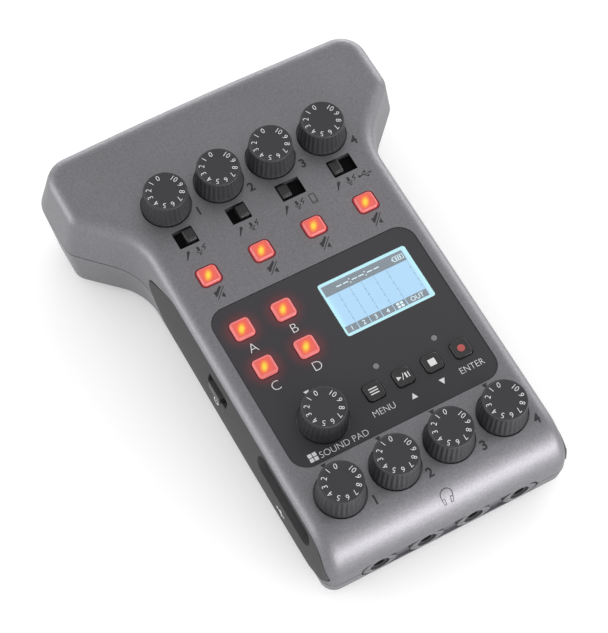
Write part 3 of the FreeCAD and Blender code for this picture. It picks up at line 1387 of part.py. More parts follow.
def build_case():
    """Shells, panels and what is fixed in them."""
    keep("top_shell", top_shell(), deck)
    keep("bottom_shell", bottom_shell(), deck)
    keep("left_side_panel", side_panel("left_panel", -1, left_panel_openings()), deck)
    keep("right_side_panel", side_panel("right_panel", 1, right_panel_openings()), deck)
    keep("input_panel", input_panel(), deck)
    keep("control_panel", control_panel(), deck)
    keep("display_window", display_window(), deck)
    keep("display_module", display_module(), deck)
    keep("status_lenses", status_lenses(), deck)
    keep("main_board", main_board(), deck)
    keep("front_board", front_board(), deck)
    keep("rear_board", rear_board(), deck)
    keep("case_screws", case_screws(), deck)
    keep("board_screws", board_screws(), deck)
    keep("feet", feet(), level)


def build_controls():
    """Knobs, buttons, levers and the switches that they work."""
    knobs = knob_places()
    for name, (x, y), turn in knobs:
        keep(name, knob(name), on_deck(x, y, "0", turn))
    keep("gain_potentiometers", potentiometers("gain", [spot for name, spot, turn in knobs[:4]]), deck)
    keep("headphone_potentiometers",
         potentiometers("headphone", [spot for name, spot, turn in knobs[4:]]), deck)
    for name, (x, y), width, length, proud in button_places():
        keep(name, button(name, width, length, proud), on_deck(x, y))
    keep("tact_switches", tact_switches(), deck)
    for number, x, throw, rest in lever_places():
        keep(f"input_switch_{number}", lever(number, throw), on_deck(f"{x} + {rest}", "-slot_row"))
    keep("input_switch_bodies", input_switch_bodies(), deck)
    keep("power_switch_slider", power_switch_slider(), on_deck("0", "-power_y", "-power_z"))
    keep("power_switch_body", power_switch_body(), deck)


def build_sockets():
    """Everything that a cable, card or battery goes into."""
    for number, place in enumerate(CHANNELS, start=1):
        keep(f"headphone_jack_{number}", headphone_jack(f"{place} * jack_pitch"), deck)
    for number, x in enumerate(input_places(), start=1):
        keep(f"xlr_socket_{number}", xlr_socket(x), deck)
    keep("usb_ports", usb_ports(), deck)
    keep("phone_jack", phone_jack(), deck)
    keep("card_slot", card_slot(), deck)
    keep("batteries", batteries(), level)
    keep("battery_contacts", battery_contacts(), level)
    keep("battery_cover", battery_cover(), level)


def check():
    """Stop if any object failed to rebuild or any piece is empty or invalid."""
    for thing in doc.Objects:
        if "Invalid" in thing.State or "Error" in thing.State:
            raise RuntimeError(f"{thing.Name} did not rebuild: {thing.State}")
    for piece in pieces:
        if piece.Shape.isNull() or not piece.Shape.isValid() or not piece.Shape.Solids:
            raise RuntimeError(f"{piece.Label} has no valid solid")


build_case()
build_controls()
build_sockets()
doc.recompute()
check()
os.makedirs("parts", exist_ok=True)
for piece in pieces:
    piece.Shape.exportStep(f"parts/{piece.Label}.step")
print(f"{len(pieces)} pieces")
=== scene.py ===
"""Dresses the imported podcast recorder: finishes, printed marks, lit keys and a small studio.

Lengths are in millimetres unless a comment says otherwise, and angles in degrees.
"""

import json
from itertools import product
from math import cos, radians, sin

import bmesh
import bpy
from bpy.props import FloatProperty, FloatVectorProperty, IntProperty, PointerProperty
from mathutils import Euler, Matrix, Vector
from mathutils.bvhtree import BVHTree
from mathutils.kdtree import KDTree


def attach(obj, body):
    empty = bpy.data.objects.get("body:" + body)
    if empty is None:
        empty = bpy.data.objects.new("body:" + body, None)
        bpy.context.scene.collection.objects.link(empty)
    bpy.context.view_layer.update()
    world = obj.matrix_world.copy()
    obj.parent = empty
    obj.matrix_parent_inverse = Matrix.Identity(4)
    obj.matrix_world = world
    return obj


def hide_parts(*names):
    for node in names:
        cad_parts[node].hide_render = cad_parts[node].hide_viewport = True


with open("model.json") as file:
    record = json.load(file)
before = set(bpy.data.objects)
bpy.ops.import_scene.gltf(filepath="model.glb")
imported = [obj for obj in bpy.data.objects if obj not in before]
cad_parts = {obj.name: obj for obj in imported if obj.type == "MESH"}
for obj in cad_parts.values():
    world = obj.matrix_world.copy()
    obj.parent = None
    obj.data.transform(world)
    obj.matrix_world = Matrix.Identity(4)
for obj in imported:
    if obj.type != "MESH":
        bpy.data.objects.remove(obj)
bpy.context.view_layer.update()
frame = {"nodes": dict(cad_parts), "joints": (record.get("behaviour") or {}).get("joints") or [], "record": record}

bl_info = {
    "name": "Podcast recorder",
    "version": (1, 0, 0),
    "blender": (4, 5, 0),
    "location": "View3D > Sidebar > Recorder",
    "description": "Dresses a desktop podcast recorder over its packed frame",
    "category": "Add Mesh",
}

MM = 0.001
LEVEL = Matrix.Scale(MM, 4)
BODY = "case"
ROW = range(1, 5)
BOTH = (-1, 1)


def find_deck():
    """Find the deck's frame: origin between the gain knobs, x right, y rear, z up."""
    turns = {joint["name"]: joint for joint in frame["joints"]}
    first, last = (turns[f"gain_knob_{number}_turn"] for number in (ROW[0], ROW[-1]))
    left, right = Vector(first["pos_m"]), Vector(last["pos_m"])
    across = (right - left).normalized()
    up = Vector(first["axis"]).normalized()
    turn = Matrix((across, up.cross(across), up)).transposed().to_4x4()
    return Matrix.Translation((left + right) / 2) @ turn @ LEVEL


DECK = find_deck()


# Measures read from the frame


def span(points):
    """Lowest and highest corner of a list of points."""
    return tuple(Vector([pick(point[axis] for point in points) for axis in range(3)]) for pick in (min, max))


def cad_mesh(node):
    return frame["nodes"][node].data


def node_points(node, place=DECK):
    """A CAD node's corners in the deck's frame, or another."""
    back = place.inverted()
    return [back @ vertex.co for vertex in cad_mesh(node).vertices]


def node_span(node, place=DECK, test=None):
    return span([point for point in node_points(node, place) if test is None or test(point)])


def cap_span(node):
    """Outline and height of the flat top of a key or lever."""
    points = node_points(node)
    top = max(point.z for point in points)
    return span([point for point in points if point.z > top - 0.02])


def middle(low, high):
    return (low + high) / 2


def joint_of(node):
    return next(joint for joint in frame["joints"] if joint["child"] == node)


# Shapes


def around(centre, radius, start, end, steps):
    """Points on part of a circle."""
    angles = [radians(start + (end - start) * step / steps) for step in range(steps + 1)]
    return [(centre[0] + radius * cos(a), centre[1] + radius * sin(a)) for a in angles]


def corners(left, front, right, rear):
    """Corners of a rectangle, counter-clockwise."""
    return [(left, front), (right, front), (right, rear), (left, rear)]


def rounded(width, length, corner, centre=(0, 0), steps=6):
    """Outline of a rectangle with round corners, counter-clockwise."""
    corner = max(0.02, min(corner, width / 2 - 0.001, length / 2 - 0.001))
    half = (width / 2 - corner, length / 2 - corner)
    points = []
    for quarter, side in enumerate(((1, 1), (-1, 1), (-1, -1), (1, -1))):
        spot = [mid + way * reach for mid, way, reach in zip(centre, side, half)]
        points += around(spot, corner, 90 * quarter, 90 * quarter + 90, steps)
    return points


def skin(form, rings, finish=0, ends=(True, True)):
    """Join a row of equal outlines, lowest first, and close the ends."""
    loops = [[form.verts.new(point) for point in ring] for ring in rings]
    for low, high in zip(loops, loops[1:]):
        for i in range(len(low)):
            j = (i + 1) % len(low)
            form.faces.new((low[i], low[j], high[j], high[i])).material_index = finish
    for wanted, loop in zip(ends, (loops[0][::-1], loops[-1])):
        if wanted:
            form.faces.new(loop).material_index = finish


def pad(form, width, length, corner, profile, centre=(0, 0), finish=0, steps=6, ends=(True, True)):
    """Rounded block whose edge follows a profile of (inset, height)."""
    rings = []
    for inset, height in profile:
        outline = rounded(width - 2 * inset, length - 2 * inset, corner - inset * 0.8, centre, steps)
        rings.append([(x, y, height) for x, y in outline])
    skin(form, rings, finish, ends)


def prism(form, outline, low, high, finish=0):
    """Flat shape, raised between two heights."""
    skin(form, [[(x, y, z) for x, y in outline] for z in (low, high)], finish)


def bar(form, start, end, width, *layer):
    """Straight line. A layer is the two heights that a print lies between and its finish."""
    a, b = Vector(start), Vector(end)
    side = (b - a).normalized().orthogonal() * width / 2
    prism(form, [a - side, b - side, b + side, a + side], *layer)


def closed_line(form, points, width, *layer):
    for start, end in zip(points, points[1:] + points[:1]):
        bar(form, start, end, width, *layer)


def disc(form, centre, radius, low, high, finish=0, steps=28):
    prism(form, around(centre, radius, 0, 360, steps)[:-1], low, high, finish)


def arc(form, centre, inner, outer, start, end, low, high, steps=20):
    """Part of a flat ring, between two angles."""
    near, far = (around(centre, radius, start, end, steps) for radius in (inner, outer))
    for i in range(steps):
        prism(form, [near[i], far[i], far[i + 1], near[i + 1]], low, high)


def arrow(form, x, y, half, rise, *layer):
    """Triangle that points to the rear, or with a negative rise to the front."""
    prism(form, [(x - half, y - rise), (x + half, y - rise), (x, y + rise)], *layer)


def four_squares(form, x, y, step, size, corner, steps, *layer):
    for across, along in product(BOTH, BOTH):
        spot = (x + across * step[0], y + along * step[1])
        prism(form, rounded(*size, corner, spot, steps), *layer)


def turned(form, profile, segments=48, finish=0, axis=(0, 0)):
    """Solid of revolution about a vertical axis, from a profile of (radius, height), lowest first."""
    loops = []
    for radius, height in profile:
        ring = [axis] if radius < 1e-4 else around(axis, radius, 0, 360, segments)[:-1]
        loops.append([form.verts.new((x, y, height)) for x, y in ring])
    for low, high in zip(loops, loops[1:]):
        for i in range(segments):
            j = (i + 1) % segments
            ring = [low[i % len(low)], low[j % len(low)], high[j % len(high)], high[i % len(high)]]
            unique = list(dict.fromkeys(ring))
            if len(unique) > 2:
                form.faces.new(unique).material_index = finish


def as_mesh(form, name="draft"):
    """Turn a form into a mesh. The form is gone."""
    mesh = bpy.data.meshes.new(name)
    form.to_mesh(mesh)
    form.free()
    return mesh


def carried(name, data):
    """Put some data in the scene as an object."""
    carrier = bpy.data.objects.new(name, data)
    bpy.context.scene.collection.objects.link(carrier)
    return carrier


def plain(carrier):
    """The mesh of an object with its modifiers applied. The object is removed."""
    bpy.context.view_layer.update()
    mesh = bpy.data.meshes.new_from_object(carrier.evaluated_get(bpy.context.evaluated_depsgraph_get()))
    bpy.data.objects.remove(carrier)
    return mesh


letter_store = {}


def letters(text, weight=0.0):
    """Mesh of a word, centred and one unit thick, and its height. Drawn once and kept."""
    key = (text, weight)
    if key not in letter_store:
        curve = bpy.data.curves.new("letters", "FONT")
        curve.body = text
        curve.extrude = 0.5
        curve.offset = weight
        curve.resolution_u = 4
        mesh = plain(carried("letters", curve))
        low, high = span([vertex.co for vertex in mesh.vertices])
        mesh.transform(Matrix.Translation(-middle(low, high)))
        letter_store[key] = (mesh, high.y - low.y)
    return letter_store[key]


CAPITAL = "H"


def join(form, mesh, finish):
    """Add a mesh to a form, in one finish."""
    known = len(form.faces)
    form.from_mesh(mesh)
    form.faces.ensure_lookup_table()
    for face in form.faces[known:]:
        face.material_index = finish


def word(form, text, height, spot, low, high, finish=0, narrow=1.0, weight=0.0, turn=0.0):
    """Print a word: its capitals are so high, and its middle is at spot."""
    scale = height / letters(CAPITAL, weight)[1]
    copy = letters(text, weight)[0].copy()
    copy.transform(Matrix.Translation((spot[0], spot[1], (low + high) / 2))
                   @ Matrix.Rotation(radians(turn), 4, "Z")
                   @ Matrix.Diagonal((scale * narrow, scale, high - low, 1)))
    join(form, copy, finish)
    bpy.data.meshes.remove(copy)


def moved(form, first, place):
    """Move the corners of a form from number first onward."""
    form.verts.ensure_lookup_table()
    for vertex in form.verts[first:]:
        vertex.co = place @ vertex.co


# Pieces


def smooth(mesh, angle=32):
    mesh.polygons.foreach_set("use_smooth", [True] * len(mesh.polygons))
    mesh.set_sharp_from_angle(angle=radians(angle))


SAME_METRES = 4e-6
TURNED = cos(radians(40))


def keep_shine(mesh, source):
    """Give each corner of a merged mesh the normal that the CAD surface has there."""
    given = [[] for _ in source.vertices]
    for corner, normal in zip(source.loops, source.corner_normals):
        given[corner.vertex_index].append(normal.vector.copy())
    tree = KDTree(len(source.vertices))
    for vertex in source.vertices:
        tree.insert(vertex.co, vertex.index)
    tree.balance()
    near = [[normal for _, index, _ in tree.find_range(vertex.co, SAME_METRES) for normal in given[index]]
            for vertex in mesh.vertices]
    normals = []
    for face in mesh.polygons:
        for corner in face.loop_indices:
            best = max(near[mesh.loops[corner].vertex_index], key=face.normal.dot, default=face.normal)
            normals.append(best if best.dot(face.normal) > TURNED else face.normal.copy())
    mesh.normals_split_custom_set(normals)


def coat(mesh, finishes):
    """Give a mesh its materials, and leave which face has which."""
    order = [polygon.material_index for polygon in mesh.polygons]
    mesh.materials.clear()
    for finish in finishes:
        mesh.materials.append(bpy.data.materials[finish])
    mesh.polygons.foreach_set("material_index", order)


def show(mesh, name, finishes, body=BODY, stands_for=()):
    """Put a finished mesh in the scene, riding on its body."""
    mesh.name = name
    coat(mesh, finishes)
    piece = carried(name, mesh)
    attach(piece, body)
    if stands_for:
        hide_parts(*stands_for)


LONGEST_LAID = 0.8


def settle(form, name, finishes, body=BODY, stands_for=(), place=DECK, angle=32, lay=None,
           centre=(0, 0)):
    """Turn a form into a piece at its place. A rule, lay, bends it over a curved surface first."""
    bmesh.ops.remove_doubles(form, verts=form.verts, dist=1e-4)
    bmesh.ops.recalc_face_normals(form, faces=form.faces)
    if lay:
        straight = [edge for edge in form.edges if edge.calc_length() > LONGEST_LAID]
        bmesh.ops.subdivide_edges(form, edges=straight, cuts=3)
        for vertex in form.verts:
            vertex.co = lay(vertex.co)
    mesh = as_mesh(form, name)
    mesh.transform(place @ Matrix.Translation((centre[0], centre[1], 0)))
    smooth(mesh, angle)
    show(mesh, name, finishes, body, stands_for)


FLAT_ANGLE = 0.2


def dress(node, finishes, sort=None):
    """Show a merged, smoothed copy of a CAD node in its place. sort tells a face's finish by its middle."""
    source = cad_mesh(node)
    mesh = source.copy()
    form = bmesh.new()
    form.from_mesh(mesh)
    bmesh.ops.remove_doubles(form, verts=form.verts, dist=2e-6)
    bmesh.ops.dissolve_degenerate(form, dist=1e-6, edges=form.edges)
    bmesh.ops.dissolve_limit(form, angle_limit=radians(FLAT_ANGLE), use_dissolve_boundaries=False,
                             verts=form.verts, edges=form.edges)
    back = DECK.inverted()
    for face in form.faces:
        face.material_index = sort(back @ face.calc_center_median()) if sort else 0
    form.to_mesh(mesh)
    form.free()
    smooth(mesh)
    keep_shine(mesh, source)
    body = next(b for b, members in frame["record"]["behaviour"]["bodies"].items() if node in members)
    show(mesh, node + "_dressed", finishes, body, (node,))


def paint(node, finish):
    """Keep a CAD node as it is and give it its finish."""
    coat(cad_mesh(node), [finish])


# Node trees


def is_socket(value):
    return isinstance(value, bpy.types.NodeSocket)


def fill(node, inputs):
    """Link or set the inputs of a node. A colour is given by its first three values."""
    for key, value in inputs.items():
        socket = node.inputs[key]
        if is_socket(value):
            node.id_data.links.new(value, socket)
        else:
            socket.default_value = (*value[:3], 1.0) if socket.type == "RGBA" else value


def add(tree, kind, inputs, **settings):
    """Add a node, set what it says and link or set its inputs. Returns its outputs."""
    made = tree.nodes.new(kind)
    for key, value in settings.items():
        setattr(made, key, value)
    fill(made, inputs)
    return made.outputs


def go_on(kind, inputs, **settings):
    """Add a node to the tree that its inputs come from."""
    tree = next(value.id_data for value in inputs.values() if is_socket(value))
    return add(tree, kind, inputs, **settings)


def maths(operation, *values):
    return go_on("ShaderNodeMath", dict(enumerate(values)), operation=operation)[0]


def times(first, *values):
    for value in values:
        first = maths("MULTIPLY", first, value)
    return first


def minus(first, second):
    return maths("SUBTRACT", first, second)


def positive(value):
    return maths("ABSOLUTE", value)


def vector_maths(operation, first, **inputs):
    return go_on("ShaderNodeVectorMath", {0: first, **inputs}, operation=operation)


def flat_vector(x, y):
    return go_on("ShaderNodeCombineXYZ", {0: x, 1: y})[0]


def length_of(vector):
    return vector_maths("LENGTH", vector)["Value"]


def climb(value, start, end, interpolation="LINEAR"):
    """Number that goes from 0 to 1 between two values."""
    return go_on("ShaderNodeMapRange", {"Value": value, "From Min": start, "From Max": end},
                 interpolation_type=interpolation)[0]


def noise(where, scale, detail=2.0, roughness=0.5):
    inputs = {"Vector": where, "Scale": scale, "Detail": detail, "Roughness": roughness}
    return go_on("ShaderNodeTexNoise", inputs)[0]


def shared(name, inputs):
    """Use a shared group of nodes."""
    return go_on("ShaderNodeGroup", inputs, node_tree=bpy.data.node_groups[name])


MIX_FACTOR, MIX_FIRST, MIX_SECOND, MIX_RESULT = 0, 6, 7, 2
BLACK = (0.0, 0.0, 0.0)


def mix_colour(factor, first, second):
    inputs = {MIX_FACTOR: factor, MIX_FIRST: first, MIX_SECOND: second}
    return go_on("ShaderNodeMix", inputs, data_type="RGBA")[MIX_RESULT]


def new_group(name, kind, inputs, outputs):
    """Start a node group with named sockets. Returns its inputs and its output node."""
    tree = bpy.data.node_groups.new(name, kind)
    for title, socket, default in inputs:
        made = tree.interface.new_socket(title, in_out="INPUT", socket_type="NodeSocket" + socket)
        if default is not None:
            made.default_value = default
    for title, socket in outputs:
        tree.interface.new_socket(title, in_out="OUTPUT", socket_type="NodeSocket" + socket)
    return add(tree, "NodeGroupInput", {}), tree.nodes.new("NodeGroupOutput")


def new_shape_tree(name, inputs):
    sockets = [("Geometry", "Geometry", None), *inputs, ("Material", "Material", None)]
    return new_group(name, "GeometryNodeTree", sockets, [("Geometry", "Geometry")])


def end_tree(result, shape, finish):
    """Close a geometry tree: real geometry with its finish."""
    real = go_on("GeometryNodeRealizeInstances", {"Geometry": shape})
    last = go_on("GeometryNodeSetMaterial", {"Geometry": real[0], "Material": finish})
    fill(result, {"Geometry": last[0]})


def build_flutes():
    """Tree that presses grip flutes into a turned skirt."""
    given, result = new_shape_tree("Grip flutes", [
        ("Count", "Int", 30), ("Depth", "Float", 0.3), ("Foot", "Float", 0.5), ("Crown", "Float", 7.6),
        ("Inner radius", "Float", 6.0)])
    spot = go_on("ShaderNodeSeparateXYZ", {0: add(result.id_data, "GeometryNodeInputPosition", {})[0]})
    wave = maths("COSINE", times(maths("ARCTAN2", spot[1], spot[0]), given["Count"]))
    groove = maths("POWER", maths("MULTIPLY_ADD", wave, 0.5, 0.5), 1.6)
    ends = [climb(spot[2], given[title], maths(way, given[title], 0.5), "SMOOTHSTEP")
            for title, way in (("Foot", "ADD"), ("Crown", "SUBTRACT"))]
    flat = flat_vector(spot[0], spot[1])
    outside = maths("GREATER_THAN", length_of(flat), given["Inner radius"])
    depth = times(groove, given["Depth"], *ends, outside, -1.0)
    push = vector_maths("SCALE", vector_maths("NORMALIZE", flat)[0], Scale=depth)[0]
    shape = go_on("GeometryNodeSetPosition", {"Geometry": given["Geometry"], "Offset": push})
    end_tree(result, shape[0], given["Material"])


def build_spread():
    """Tree that sets a copy of a part at every point of a mesh."""
    given, result = new_shape_tree("Spread on points", [
        ("Part", "Object", None), ("Turn", "Vector", (0, 0, 0))])
    part = go_on("GeometryNodeObjectInfo", {"Object": given["Part"]})
    turn = go_on("FunctionNodeEulerToRotation", {0: given["Turn"]})
    shape = go_on("GeometryNodeInstanceOnPoints", {
        "Points": given["Geometry"], "Instance": part["Geometry"], "Rotation": turn[0]})
    end_tree(result, shape[0], given["Material"])


def build_bars():
    """Tree that lays a row of equal bars."""
    given, result = new_shape_tree("Row of bars", [
        ("Count", "Int", 5), ("First", "Vector", (0, 0, 0)), ("Step", "Vector", (1, 0, 0)),
        ("Size", "Vector", (1, 1, 1))])
    row = go_on("GeometryNodeMeshLine", {
        "Count": given["Count"], "Start Location": given["First"], "Offset": given["Step"]})
    block = go_on("GeometryNodeMeshCube", {"Size": given["Size"]})
    shape = go_on("GeometryNodeInstanceOnPoints", {"Points": row[0], "Instance": block[0]})
    end_tree(result, shape[0], given["Material"])


def grow(tree_name, values, finish, mesh=None):
    """Run a geometry tree on a mesh and return the plain mesh that it makes."""
    tree = bpy.data.node_groups[tree_name]
    carrier = carried("carrier", mesh or bpy.data.meshes.new("start"))
    modifier = carrier.modifiers.new("grow", "NODES")
    modifier.node_group = tree
    sockets = {item.name: item.identifier for item in tree.interface.items_tree
               if item.item_type == "SOCKET" and item.in_out == "INPUT"}
    for title, value in values.items():
        modifier[sockets[title]] = value
    modifier[sockets["Material"]] = bpy.data.materials[finish]
    return plain(carrier)


def spread(profile, spots, turn, segments, finish):
    """Set a turned part at every spot, and return the plain mesh."""
    form = bmesh.new()
    turned(form, profile, segments)
    bmesh.ops.recalc_face_normals(form, faces=form.faces)
    part = carried("part", as_mesh(form))
    points = bpy.data.meshes.new("spots")
    points.from_pydata(spots, [], [])
    result = grow("Spread on points", {"Part": part, "Turn": turn}, finish, points)
    bpy.data.objects.remove(part)
    return result


def bars(form, count, first, step, size, finish=0):
    """Add a row of bars made by the tree to a form."""
    values = {"Count": count, "First": first, "Step": step, "Size": size}
    join(form, grow("Row of bars", values, "Print black"), finish)


# Finishes


def build_grain():
    """Shader group: fine moulded or sprayed grain, with slow changes of tone and gloss."""
    given, result = new_group(
        "Fine grain", "ShaderNodeTree",
        [("Vector", "Vector", None), ("Grains per metre", "Float", 2500.0),
         ("Colour", "Color", (0.5, 0.5, 0.5, 1)), ("Tone", "Float", 0.06), ("Roughness", "Float", 0.4),
         ("Gloss change", "Float", 0.08)],
        [("Colour", "Color"), ("Roughness", "Float"), ("Height", "Float")])
    where, grains = given["Vector"], given["Grains per metre"]
    slow, speck = noise(where, 42.0, 3.0), noise(where, times(grains, 0.45))
    uneven = minus(maths("ADD", times(slow, 0.25), times(speck, 0.75)), 0.5)
    change = maths("MULTIPLY_ADD", uneven, given["Tone"], 1.0)
    fill(result, {
        "Colour": vector_maths("SCALE", given["Colour"], Scale=change)[0],
        "Roughness": maths("MULTIPLY_ADD", uneven, given["Gloss change"], given["Roughness"]),
        "Height": noise(where, grains, 3.0, 0.6)})


def build_deck_frame():
    """Shader group: turns object coordinates into millimetres on the deck."""
    axes = ("X", "Y", "Z")
    given, result = new_group("Deck place", "ShaderNodeTree", [("Vector", "Vector", None)],
                              [("Vector", "Vector"), *((axis, "Float") for axis in axes)])
    place = go_on("ShaderNodeMapping", {
        "Vector": given["Vector"], "Location": DECK.to_translation(), "Rotation": DECK.to_euler(),
        "Scale": (MM, MM, MM)}, vector_type="TEXTURE")[0]
    parts = go_on("ShaderNodeSeparateXYZ", {0: place})
    fill(result, {"Vector": place, **dict(zip(axes, parts))})


def build_glow():
    """Shader group: light that fades with distance from a spot."""
    given, result = new_group(
        "Fading glow", "ShaderNodeTree",
        [("Distance", "Float", 0.0), ("Near", "Float", 0.0), ("Far", "Float", 1.0), ("Power", "Float", 1.0)],
        [("Mask", "Float")])
    fade = climb(given["Distance"], given["Far"], given["Near"], "SMOOTHSTEP")
    fill(result, {"Mask": maths("POWER", fade, given["Power"])})


def start_finish(name, **constants):
    """Start a material: returns its shader and its object coordinates."""
    material = bpy.data.materials.new(name)
    material.use_nodes = True
    tree = material.node_tree
    shader = tree.nodes["Principled BSDF"]
    fill(shader, {key.replace("_", " "): value for key, value in constants.items()})
    return shader, add(tree, "ShaderNodeTexCoord", {})["Object"]


def bumps(height, strength, depth):
    return go_on("ShaderNodeBump", {"Height": height, "Strength": strength, "Distance": depth * MM})[0]


def grained(name, colour, roughness, grains, depth, tone, gloss, strength=0.5, **constants):
    """Material with the fine grain group in colour, roughness and bump."""
    shader, where = start_finish(name, **constants)
    grain = shared("Fine grain", {"Vector": where, "Grains per metre": grains, "Colour": colour, "Tone": tone,
                                  "Roughness": roughness, "Gloss change": gloss})
    fill(shader, {"Base Color": grain["Colour"], "Roughness": grain["Roughness"],
                  "Normal": bumps(grain["Height"], strength, depth)})
    return shader, where


def glow(distance, near, far, power=1.0):
    inputs = {"Distance": distance, "Near": near, "Far": far, "Power": power}
    return shared("Fading glow", inputs)["Mask"]


def beyond(place, centre, half):
    """How far a place lies outside the two pairs of sides of a rectangle."""
    return [minus(positive(minus(value, mid)), abs(reach)) for value, mid, reach in zip(place, centre, half)]


def light_up(shader, factor, first, second):
    fill(shader, {"Emission Color": mix_colour(factor, first, second), "Emission Strength": 1.0})


RIM_CORNER = 1.1
LIGHT_FOOT = -0.8
KEY_CHART = 10.0


def build_shell(colours):
    """Shells: sprayed metallic grey, with the light that the mute keys throw round them and a painted shadow line
    just outside that light.
    """
    shader, where = grained("Sprayed grey", colours.shell, 0.5, 3600.0, 0.03, 0.75, 0.12, Metallic=0.9)
    first, second = (cap_span(f"mute_button_{number}") for number in ROW[:2])
    centre, half = middle(*first), [reach / 2 - RIM_CORNER for reach in first[1] - first[0]]
    pitch = middle(*second).x - centre.x
    deck = shared("Deck place", {"Vector": where})
    start = minus(deck["X"], centre.x - pitch / 2)
    across = maths("FLOORED_MODULO", start, pitch)
    sides = beyond((across, deck["Y"]), (pitch / 2, centre.y), half)
    squares = [maths("POWER", maths("MAXIMUM", side, 0.0), 2.0) for side in sides]
    reach = minus(maths("SQRT", maths("ADD", *squares)), RIM_CORNER)
    near = times(maths("GREATER_THAN", deck["Z"], LIGHT_FOOT),
                 maths("LESS_THAN", positive(deck["X"]), abs(centre.x) + pitch / 2))
    rim, haze = glow(reach, 0.3, 0.42), times(glow(reach, 0.3, 4.0, 2.0), 0.04)
    light_up(shader, times(maths("MAXIMUM", rim, haze), near), BLACK, colours.key_rim)
    spray = shader.inputs["Base Color"].links[0].from_socket
    # Painted shadow: a dark red line on the shell where the gap round each mute key lies in shade.
    line = times(glow(reach, 0.52, 0.7), near)
    fill(shader, {"Base Color": mix_colour(line, spray, colours.key_line)})


def build_control_black(colours):
    """Control panel: satin near-black, with the red light of the pads on it."""
    shader, where = grained("Control panel black", colours.panel, 0.42, 3000.0, 0.006, 0.05, 0.05,
                            Specular_IOR_Level=0.3)
    first, last = (middle(*cap_span(f"sound_pad_{letter}")) for letter in "ad")
    deck = shared("Deck place", {"Vector": where})
    sides = beyond((deck["X"], deck["Y"]), middle(first, last), (last - first) / 2)
    light_up(shader, glow(length_of(flat_vector(*sides)), 2.4, 9.0, 2.2), BLACK, colours.halo)


def build_lit_key(colours):
    """Lit key: red clouded plastic with the lamp's yellow spot in its middle."""
    shader, where = start_finish(
        "Lit key", Roughness=0.32, Coat_Weight=0.25, Subsurface_Weight=0.2, Subsurface_Scale=0.0008,
        Subsurface_Radius=(1.0, 0.3, 0.2))
    uv = add(shader.id_data, "ShaderNodeUVMap", {}, uv_map="key_face")
    chart = go_on("ShaderNodeSeparateXYZ", {0: uv[0]})
    oval = go_on("ShaderNodeMapping", {
        "Vector": flat_vector(chart[0], chart[1]), "Location": (0.475, 0.49, 0.0),
        "Rotation": (0.0, 0.0, radians(-30)), "Scale": (0.085, 0.145, 1.0)}, vector_type="TEXTURE")[0]
    cloud = noise(where, 900.0, 3.0)
    spot = maths("ADD", length_of(oval), times(minus(cloud, 0.5), 0.5))
    ramp = go_on("ShaderNodeValToRGB", {"Fac": maths("DIVIDE", spot, 4.0)})[0]
    stops = [(0.0, colours.lamp), (0.12, colours.lamp), (0.27, colours.lamp_ring), (0.4, colours.lit_inner),
             (0.75, colours.lit_key)]
    elements = ramp.node.color_ramp.elements
    for number, (at, colour) in enumerate(stops):
        stop = elements[number] if number < len(elements) else elements.new(at)
        stop.position = at
        stop.color = (*colour, 1.0)
    sides = [positive(minus(chart[axis], 0.5)) for axis in (0, 1)]
    reach = times(maths("MAXIMUM", *sides), KEY_CHART)
    groove = glow(positive(minus(reach, 2.2)), 0.03, 0.16)
    # Painted highlight: the rounded edge of each lit key is drawn paler, as if it caught more light.
    shade = mix_colour(glow(reach, 2.45, 2.2), ramp, colours.lit_edge)
    shade = mix_colour(times(groove, 0.45), shade, colours.lit_groove)
    ground = mix_colour(cloud, (0.24, 0.02, 0.02), (0.3, 0.035, 0.03))
    fill(shader, {"Emission Color": shade, "Emission Strength": 0.66, "Base Color": ground})


def build_screen(colours):
    """Display: pale blue light that turns to cyan at its rim."""
    shader, where = start_finish("Display light", Roughness=0.5, Base_Color=(0.05, 0.07, 0.08))
    low, high = cap_span("display_window")
    deck = shared("Deck place", {"Vector": where})
    sides = beyond((deck["X"], deck["Y"]), middle(low, high), (high - low) / 2)
    rim = glow(maths("MAXIMUM", *sides), -0.2, -2.2)
    light_up(shader, rim, colours.screen, colours.screen_rim)


def flat_print(name, colour, light=0.0):
    """Ink: slightly uneven, or lit where it is part of the display."""
    ground = [value * (0.1 if light else 1.0) for value in colour]
    shader, _ = grained(name, ground, 0.55, 5000.0, 0.002, 0.12, 0.1)
    if light:
        fill(shader, {"Emission Color": colour, "Emission Strength": light, "Specular IOR Level": 0.2})


def build_glass():
    """Window: clear, with a faint smear."""
    shader, where = start_finish("Window glass", Transmission_Weight=1.0, IOR=1.45, Coat_Weight=0.0)
    smear = noise(where, 120.0, 4.0)
    fill(shader, {"Roughness": times(smear, 0.03),
                  "Base Color": mix_colour(smear, (0.97, 0.99, 1.0), (1.0, 1.0, 1.0))})


def build_board():
    """Circuit board: green mask over copper tracks."""
    shader, where = start_finish("Circuit board", Roughness=0.3, Specular_IOR_Level=0.6)
    cells = go_on("ShaderNodeTexVoronoi", {"Vector": where, "Scale": 420.0}, distance="MANHATTAN")[0]
    tracks = climb(maths("FRACT", times(cells, 3.0)), 0.4, 0.5)
    fill(shader, {"Base Color": mix_colour(tracks, (0.012, 0.07, 0.03), (0.02, 0.13, 0.055)),
                  "Normal": bumps(tracks, 0.4, 0.03)})


